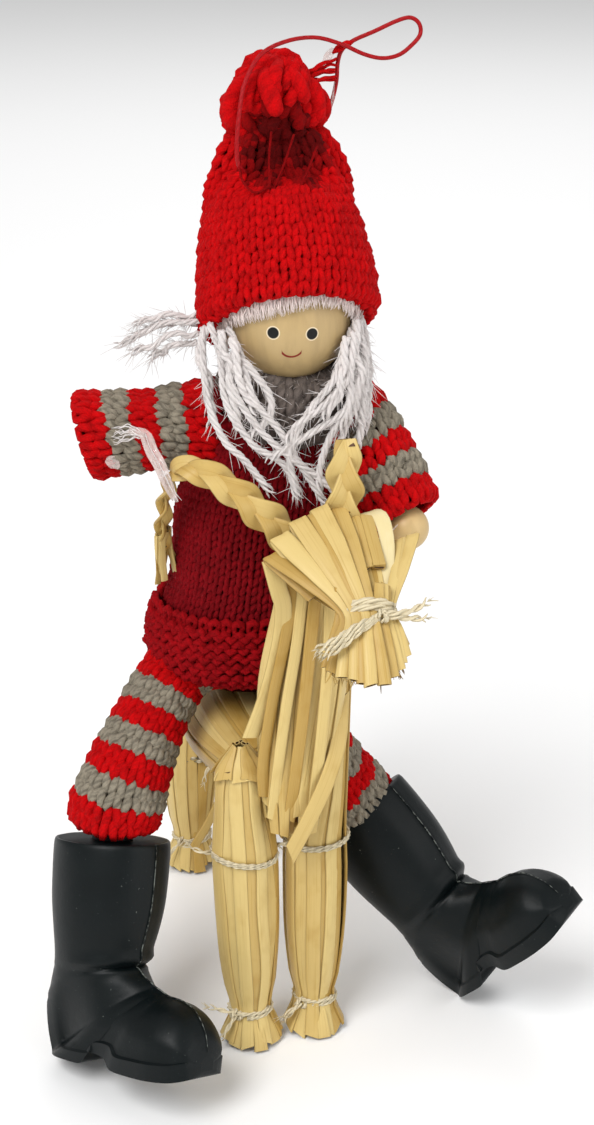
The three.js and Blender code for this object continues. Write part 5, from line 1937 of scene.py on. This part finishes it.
def boot_rings():
    """Sections of the boot, drawn finely, with the folds of its ankle."""
    fine = np.concatenate([np.linspace(0, 0.5, 10)[:-1], np.linspace(0.5, 1, 13)])
    coarse = np.array([boot_half(row, fine) for row in BOOT_ROWS])
    last = len(BOOT_ROWS) - 1
    steps = np.sort(np.concatenate([np.linspace(0, 1, 110), np.arange(last + 1) / last]))
    halves = spline(coarse.reshape(last + 1, -1), steps).reshape(len(steps), -1, 3)
    mirrored = halves[:, -2:0:-1] * (1, -1, 1)
    return np.concatenate([halves, mirrored], axis=1), steps * last


def in_boot(points, heel, yaw, pitch, roll):
    """From the boot's own frame to where the boot stands."""
    roll, pitch, yaw = (math.radians(a) for a in (roll, -pitch, yaw))
    x, y, z = np.moveaxis(np.asarray(points, float), -1, 0)
    y, z = y * math.cos(roll) - z * math.sin(roll), y * math.sin(roll) + z * math.cos(roll)
    x, z = x * math.cos(pitch) + z * math.sin(pitch), -x * math.sin(pitch) + z * math.cos(pitch)
    x, y = x * math.cos(yaw) - y * math.sin(yaw), x * math.sin(yaw) + y * math.cos(yaw)
    return np.stack([x, y, z], axis=-1) + np.array(heel)


class ORNAMENT_OT_boots(bpy.types.Operator):
    """Two small moulded boots, each on a plug"""

    bl_idname = "ornament.boots"
    bl_label = "Boots"

    def execute(self, context):
        self.boot("boot_left", LEFT_BOOT)
        self.boot("boot_right", RIGHT_BOOT)
        return {"FINISHED"}

    def boot(self, node, stands):
        heap = Heap("moulded_" + node, boot_paint("skin"), boot_paint("seam"))
        rings, row = boot_rings()
        rings = self.fold(rings, row)
        heap.rings(in_boot(rings, *stands), np.linspace(0, 90, len(rings)))
        self.bead(heap, rings, stands)
        self.plug(heap, stands)
        heap.build([node], "boot_plastic", sharp=38)

    def fold(self, rings, row):
        """Soft creases about the ankle."""
        middle = rings.mean(axis=1, keepdims=True)
        away = rings - middle
        front = away[:, :, 0] / np.maximum(np.abs(away[:, :, 0]).max(axis=1, keepdims=True), 1e-6)
        toe = np.clip((front + 0.35) / 0.8, 0, 1)
        heel = np.clip((0.25 - front) / 0.8, 0, 1)
        where = row[:, None] + 0.25 * front
        bump = 0.085 * np.exp(-(((where - 4.05) / 0.26) ** 2)) * toe
        bump -= 0.06 * np.exp(-(((where - 4.6) / 0.18) ** 2)) * toe
        for line in (3.9, 4.6, 5.3):
            bump -= 0.022 * np.exp(-(((row[:, None] + 0.7 * front - line) / 0.07) ** 2)) * heel
        return middle + away * (1 + bump)[:, :, None]

    def bead(self, heap, rings, stands):
        """The moulding seam down the middle of the shaft and over the foot."""
        line = curve(rings[4:-3, SEAM_SIDE], 90) + np.array([0.12, 0.0, 0.12])
        strand(heap, in_boot(line, *stands), 0.12, np.random.default_rng(5), 1, YARN, 0.5)

    def plug(self, heap, stands):
        """The round peg that holds the boot in the leg."""
        x, radius, rise = PLUG
        turns = turns_round(28)
        top = BOOT_HEIGHT + rise
        rings = []
        for z, r in ((BOOT_HEIGHT - 2, radius), (top - 0.5, radius), (top, radius - 0.5)):
            ring = np.column_stack([x + r * np.cos(turns), r * np.sin(turns), np.full(28, z)])
            rings.append(in_boot(ring, *stands))
        heap.rings(np.array(rings), np.array([0.0, 6.0, 6.6]))


# ---- Loop, glue and stage -------------------------------------------------------------------

CORD_WIDTH = 0.0008
# The hanging loop's route in the goat's frame, in metres: out of the gather on the left, up past
# the tuft, round the eye of the loop and back down to the knot on the right.
CORD_ROUTE = [
    (-0.0054, -0.0066, 0.1806),
    (-0.0068, -0.0084, 0.1829),
    (-0.0069, -0.0085, 0.1870),
    (-0.0062, -0.0076, 0.1920),
    (-0.0048, -0.0058, 0.1968),
    (-0.0014, -0.0034, 0.2012),
    (0.0038, -0.0008, 0.2030),
    (0.0096, 0.0012, 0.2032),
    (0.0146, 0.0016, 0.2018),
    (0.0190, 0.0016, 0.1998),
    (0.0226, 0.0018, 0.1989),
    (0.0258, 0.0019, 0.1994),
    (0.0283, 0.0021, 0.2011),
    (0.0299, 0.0024, 0.2029),
    (0.0298, 0.0028, 0.2048),
    (0.0283, 0.0033, 0.2059),
    (0.0259, 0.0037, 0.2054),
    (0.0216, 0.0042, 0.2035),
    (0.0176, 0.0043, 0.2019),
    (0.0155, 0.0045, 0.2002),
    (0.0148, 0.0049, 0.1978),
    (0.0147, 0.0054, 0.1944),
    (0.0140, 0.0062, 0.1904),
    (0.0127, 0.0069, 0.1868),
    (0.0114, 0.0068, 0.1848),
]


class ORNAMENT_OT_hanging_loop(bpy.types.Operator):
    """The red cord that the ornament hangs by"""

    bl_idname = "ornament.hanging_loop"
    bl_label = "Hanging Loop"

    def execute(self, context):
        heap = Heap("cord_hanging_loop", thread_paint("cord", 1.6, 0.5))
        path = spline(np.array(CORD_ROUTE) / MM, np.linspace(0, 1, 241))
        radius = CORD_WIDTH / MM / 2
        heap.sweep(path, carried(path, (0, 1, 0.1)), radius, section=ring_section(10), start=1000.0)
        piece = heap.build(["hanging_loop"], "red_cord")
        return {"FINISHED"}


# Frayed tails between the tuft and the cord: height where they leave, rise, depth on the way.
FRAYED_TAILS = [
    (196.2, 2.3, 2.6),
    (195.8, 1.8, 3.4),
    (195.6, 1.2, 2.8),
    (195.2, 0.9, 3.8),
    (195.0, 0.3, 3.0),
    (194.8, 0.0, 3.6),
]


KNOT_END = [(17.4, 3.0, 201.9), (15.8, 3.0, 201.4), (14.4, 3.2, 200.6), (13.4, 3.4, 199.8)]
# A strip of torn film down the left sleeve.
SLEEVE_FILM = [
    (-27.6, -4.0, 131.4),
    (-24.6, -4.9, 130.8),
    (-23.6, -6.4, 127.8),
    (-22.4, -8.8, 125.6),
    (-20.9, -9.6, 121.6),
    (-19.4, -9.6, 118.4),
]


class ORNAMENT_OT_loose_ends(bpy.types.Operator):
    """Frayed red yarn at the knot, torn film and strings of dried glue"""

    bl_idname = "ornament.loose_ends"
    bl_label = "Loose Ends"

    def execute(self, context):
        rng = np.random.default_rng(121)
        heap = Heap("loose_ends", yarn_paint("red"), glue_paint(), fibre_paint("white"))
        self.frayed_knot(heap, rng)
        self.sleeve_film(heap, rng)
        self.film(heap, [(-31.8, -1.6, 125.2), (-30.6, -1.9, 124.6), (-29.4, -2.1, 123.4)], 1.2)
        self.film(heap, [(22.2, -17.2, 113.4), (19.4, -18.2, 111.0)], 0.15)
        heap.build([], "white_yarn")
        return {"FINISHED"}

    def frayed_knot(self, heap, rng):
        """Red tails from the tuft to the cord's knot, the knot's own end and the glue on it."""
        for start, rise, y in FRAYED_TAILS:
            points = [(7.4, 2.4, start), (10.6, y, start + rise * 0.7), (14.3, 4.6, start + rise)]
            path = shaken(curve(points, 14), rng, 0.14, 5)
            heap.sweep(path, carried(path), np.linspace(0.5, 0.3, 14), start=own_start(rng))
        strand(heap, curve(KNOT_END, 12), 0.8, rng, 0, YARN, 0.8)
        self.film(heap, [(13.8, 4.2, 200.6), (12.9, 4.0, 199.4), (11.6, 3.4, 197.7)], 0.85)
        self.film(heap, [(14.7, 5.0, 196.0), (14.2, 5.6, 191.6), (13.4, 6.2, 188.0)], 0.3)

    def sleeve_film(self, heap, rng):
        """Torn film down the left sleeve, with fibres along it and fanned out at its top."""
        self.film(heap, SLEEVE_FILM, 1.3)
        self.film(heap, [(x - 0.9, y - 0.3, z + 0.4) for x, y, z in SLEEVE_FILM[1:]], 0.6)
        for shift in (-0.6, 0.1, 0.75):
            edge = [(x + shift, y - 0.15, z + 0.3 * shift) for x, y, z in SLEEVE_FILM[1:]]
            strand(heap, shaken(curve(edge, 30), rng, 0.12, 7), 0.12, rng, 2, THREAD, 0.5)
        for rise in np.linspace(-1.6, 2.0, 9):
            fan = [(-24.2, -4.9, 130.4), (-27.0, -4.0, 130.8 + rise * 0.7), (-30.4, -2.6, 130.0 + rise)]
            strand(heap, shaken(curve(fan, 20), rng, 0.2, 7), 0.11, rng, 2, THREAD, 0.6)

    def film(self, heap, points, half):
        path = curve(points, 20)
        wide = half * np.sin(np.linspace(0.5, 2.9, 20))
        heap.sweep(path, carried(path, (0.2, -1, 0.1)), wide, 0.06, section=STRAW, finish=1)


CAMERA_AT = (-80.75, -408.12, 268.57)
CAMERA_AIM = (6.0, 0.0, 100.0)
CAMERA_LENS = 72.0
FLOOR_HALF = 3.0  # in metres
LAMPS_AIM = Vector((0, 0, 0.1))


class ORNAMENT_OT_stage(bpy.types.Operator):
    """Camera, pale floor and soft studio light"""

    bl_idname = "ornament.stage"
    bl_label = "Stage"

    def execute(self, context):
        scene = context.scene
        scene.view_settings.view_transform = "Standard"
        self.camera(scene)
        self.floor(scene)
        self.lamps(scene)
        self.sky(scene)
        return {"FINISHED"}

    def camera(self, scene):
        lens = bpy.data.cameras.new("camera")
        lens.lens = CAMERA_LENS
        lens.sensor_width = 36.0
        camera = bpy.data.objects.new("camera", lens)
        camera.location = in_row(CAMERA_AT)
        aim = in_row(CAMERA_AIM) - camera.location
        camera.rotation_euler = aim.to_track_quat("-Z", "Y").to_euler()
        scene.collection.objects.link(camera)
        scene.camera = camera

    def floor(self, scene):
        mesh = bpy.data.meshes.new("floor")
        half = FLOOR_HALF
        corners = [(-half, -half, 0), (half, -half, 0), (half, half, 0), (-half, half, 0)]
        mesh.from_pydata(corners, [], [(0, 1, 2, 3)])
        mesh.materials.append(floor_paint())
        floor = bpy.data.objects.new("floor", mesh)
        scene.collection.objects.link(floor)

    def lamps(self, scene):
        sizes = scene.ornament_sizes
        lamps = [
            ("key", (-0.55, -0.6, 0.95), 0.6, sizes.key_light),
            ("fill", (0.8, -0.7, 0.5), 0.9, sizes.fill_light),
            ("rim", (0.3, 0.9, 0.9), 0.8, sizes.rim_light),
        ]
        for name, at, size, power in lamps:
            lamp = bpy.data.lights.new(name, "AREA")
            lamp.size = size
            lamp.energy = power
            holder = bpy.data.objects.new(name, lamp)
            holder.location = at
            aim = LAMPS_AIM - holder.location
            holder.rotation_euler = aim.to_track_quat("-Z", "Y").to_euler()
            scene.collection.objects.link(holder)

    def sky(self, scene):
        """Even white light from all round."""
        world = bpy.data.worlds.new("studio")
        world.use_nodes = True
        sky = world.node_tree.nodes["Background"]
        sky.inputs["Color"].default_value = (1, 1, 1, 1)
        sky.inputs["Strength"].default_value = scene.ornament_sizes.sky_light
        scene.world = world


# ---- Sizes, panel and registration ----------------------------------------------------------


def length_property(name, description, default):
    return FloatProperty(name=name, description=description, default=default, min=0.05)


class OrnamentSizes(bpy.types.PropertyGroup):
    """Sizes in millimetres, and the studio's lamps in watts."""

    straw_width: length_property("Straw width", "Width of one flattened straw, mm", 3.0)
    leg_straws: IntProperty(
        name="Leg straws", description="Straws round the outside of a leg", default=16, min=6
    )
    hat_course: length_property("Hat course", "Height of a row of the hat's stitches, mm", 2.6)
    hat_yarn: length_property("Hat yarn", "Radius of the hat's yarn, mm", 0.7)
    tunic_course: length_property("Tunic course", "Height of a row of the tunic's stitches, mm", 1.9)
    tunic_yarn: length_property("Tunic yarn", "Radius of the tunic's yarn, mm", 0.56)
    sleeve_yarn: length_property("Sleeve yarn", "Radius of sleeve and trouser yarn, mm", 0.86)
    scarf_hairs: IntProperty(
        name="Scarf hairs", description="Loose fibres on the scarf", default=1900, min=100
    )
    fringe_hairs: IntProperty(
        name="Fringe hairs", description="Fine hairs round the brim", default=2200, min=50
    )
    key_light: FloatProperty(name="Key light", description="Main lamp, W", default=10.5)
    fill_light: FloatProperty(name="Fill light", description="Softer lamp, W", default=4.0)
    rim_light: FloatProperty(name="Rim light", description="Lamp behind, W", default=4.0)
    sky_light: FloatProperty(name="Sky light", description="Light from all round", default=0.5)


STEPS = (
    ORNAMENT_OT_stage,
    ORNAMENT_OT_hanging_loop,
    ORNAMENT_OT_goat_legs,
    ORNAMENT_OT_goat_body,
    ORNAMENT_OT_goat_head,
    ORNAMENT_OT_horns,
    ORNAMENT_OT_ties,
    ORNAMENT_OT_wooden_balls,
    ORNAMENT_OT_hat,
    ORNAMENT_OT_tunic,
    ORNAMENT_OT_sleeves,
    ORNAMENT_OT_trousers,
    ORNAMENT_OT_scarf,
    ORNAMENT_OT_hair,
    ORNAMENT_OT_boots,
    ORNAMENT_OT_loose_ends,
)


class ORNAMENT_PT_panel(bpy.types.Panel):
    """Sizes, colours and one button for each piece"""

    bl_idname = "ORNAMENT_PT_panel"
    bl_label = "Straw Goat Ornament"
    bl_space_type = "VIEW_3D"
    bl_region_type = "UI"
    bl_category = "Ornament"

    def draw(self, context):
        for group in (context.scene.ornament_sizes, context.scene.ornament_colours):
            box = self.layout.box()
            for name in group.__annotations__:
                box.prop(group, name)
        column = self.layout.column(align=True)
        for step in STEPS:
            column.operator(step.bl_idname)


CLASSES = (OrnamentSizes, OrnamentColours, *STEPS, ORNAMENT_PT_panel)


def register():
    for item in CLASSES:
        bpy.utils.register_class(item)
    bpy.types.Scene.ornament_sizes = PointerProperty(type=OrnamentSizes)
    bpy.types.Scene.ornament_colours = PointerProperty(type=OrnamentColours)


def unregister():
    del bpy.types.Scene.ornament_colours
    del bpy.types.Scene.ornament_sizes
    for item in reversed(CLASSES):
        bpy.utils.unregister_class(item)


def run(step):
    """Run one operator through bpy.ops, by its own name."""
    group, name = step.bl_idname.split(".")
    return getattr(getattr(bpy.ops, group), name)()


def main():
    register()
    for step in STEPS:
        run(step)


if __name__ == "__main__":
    main()
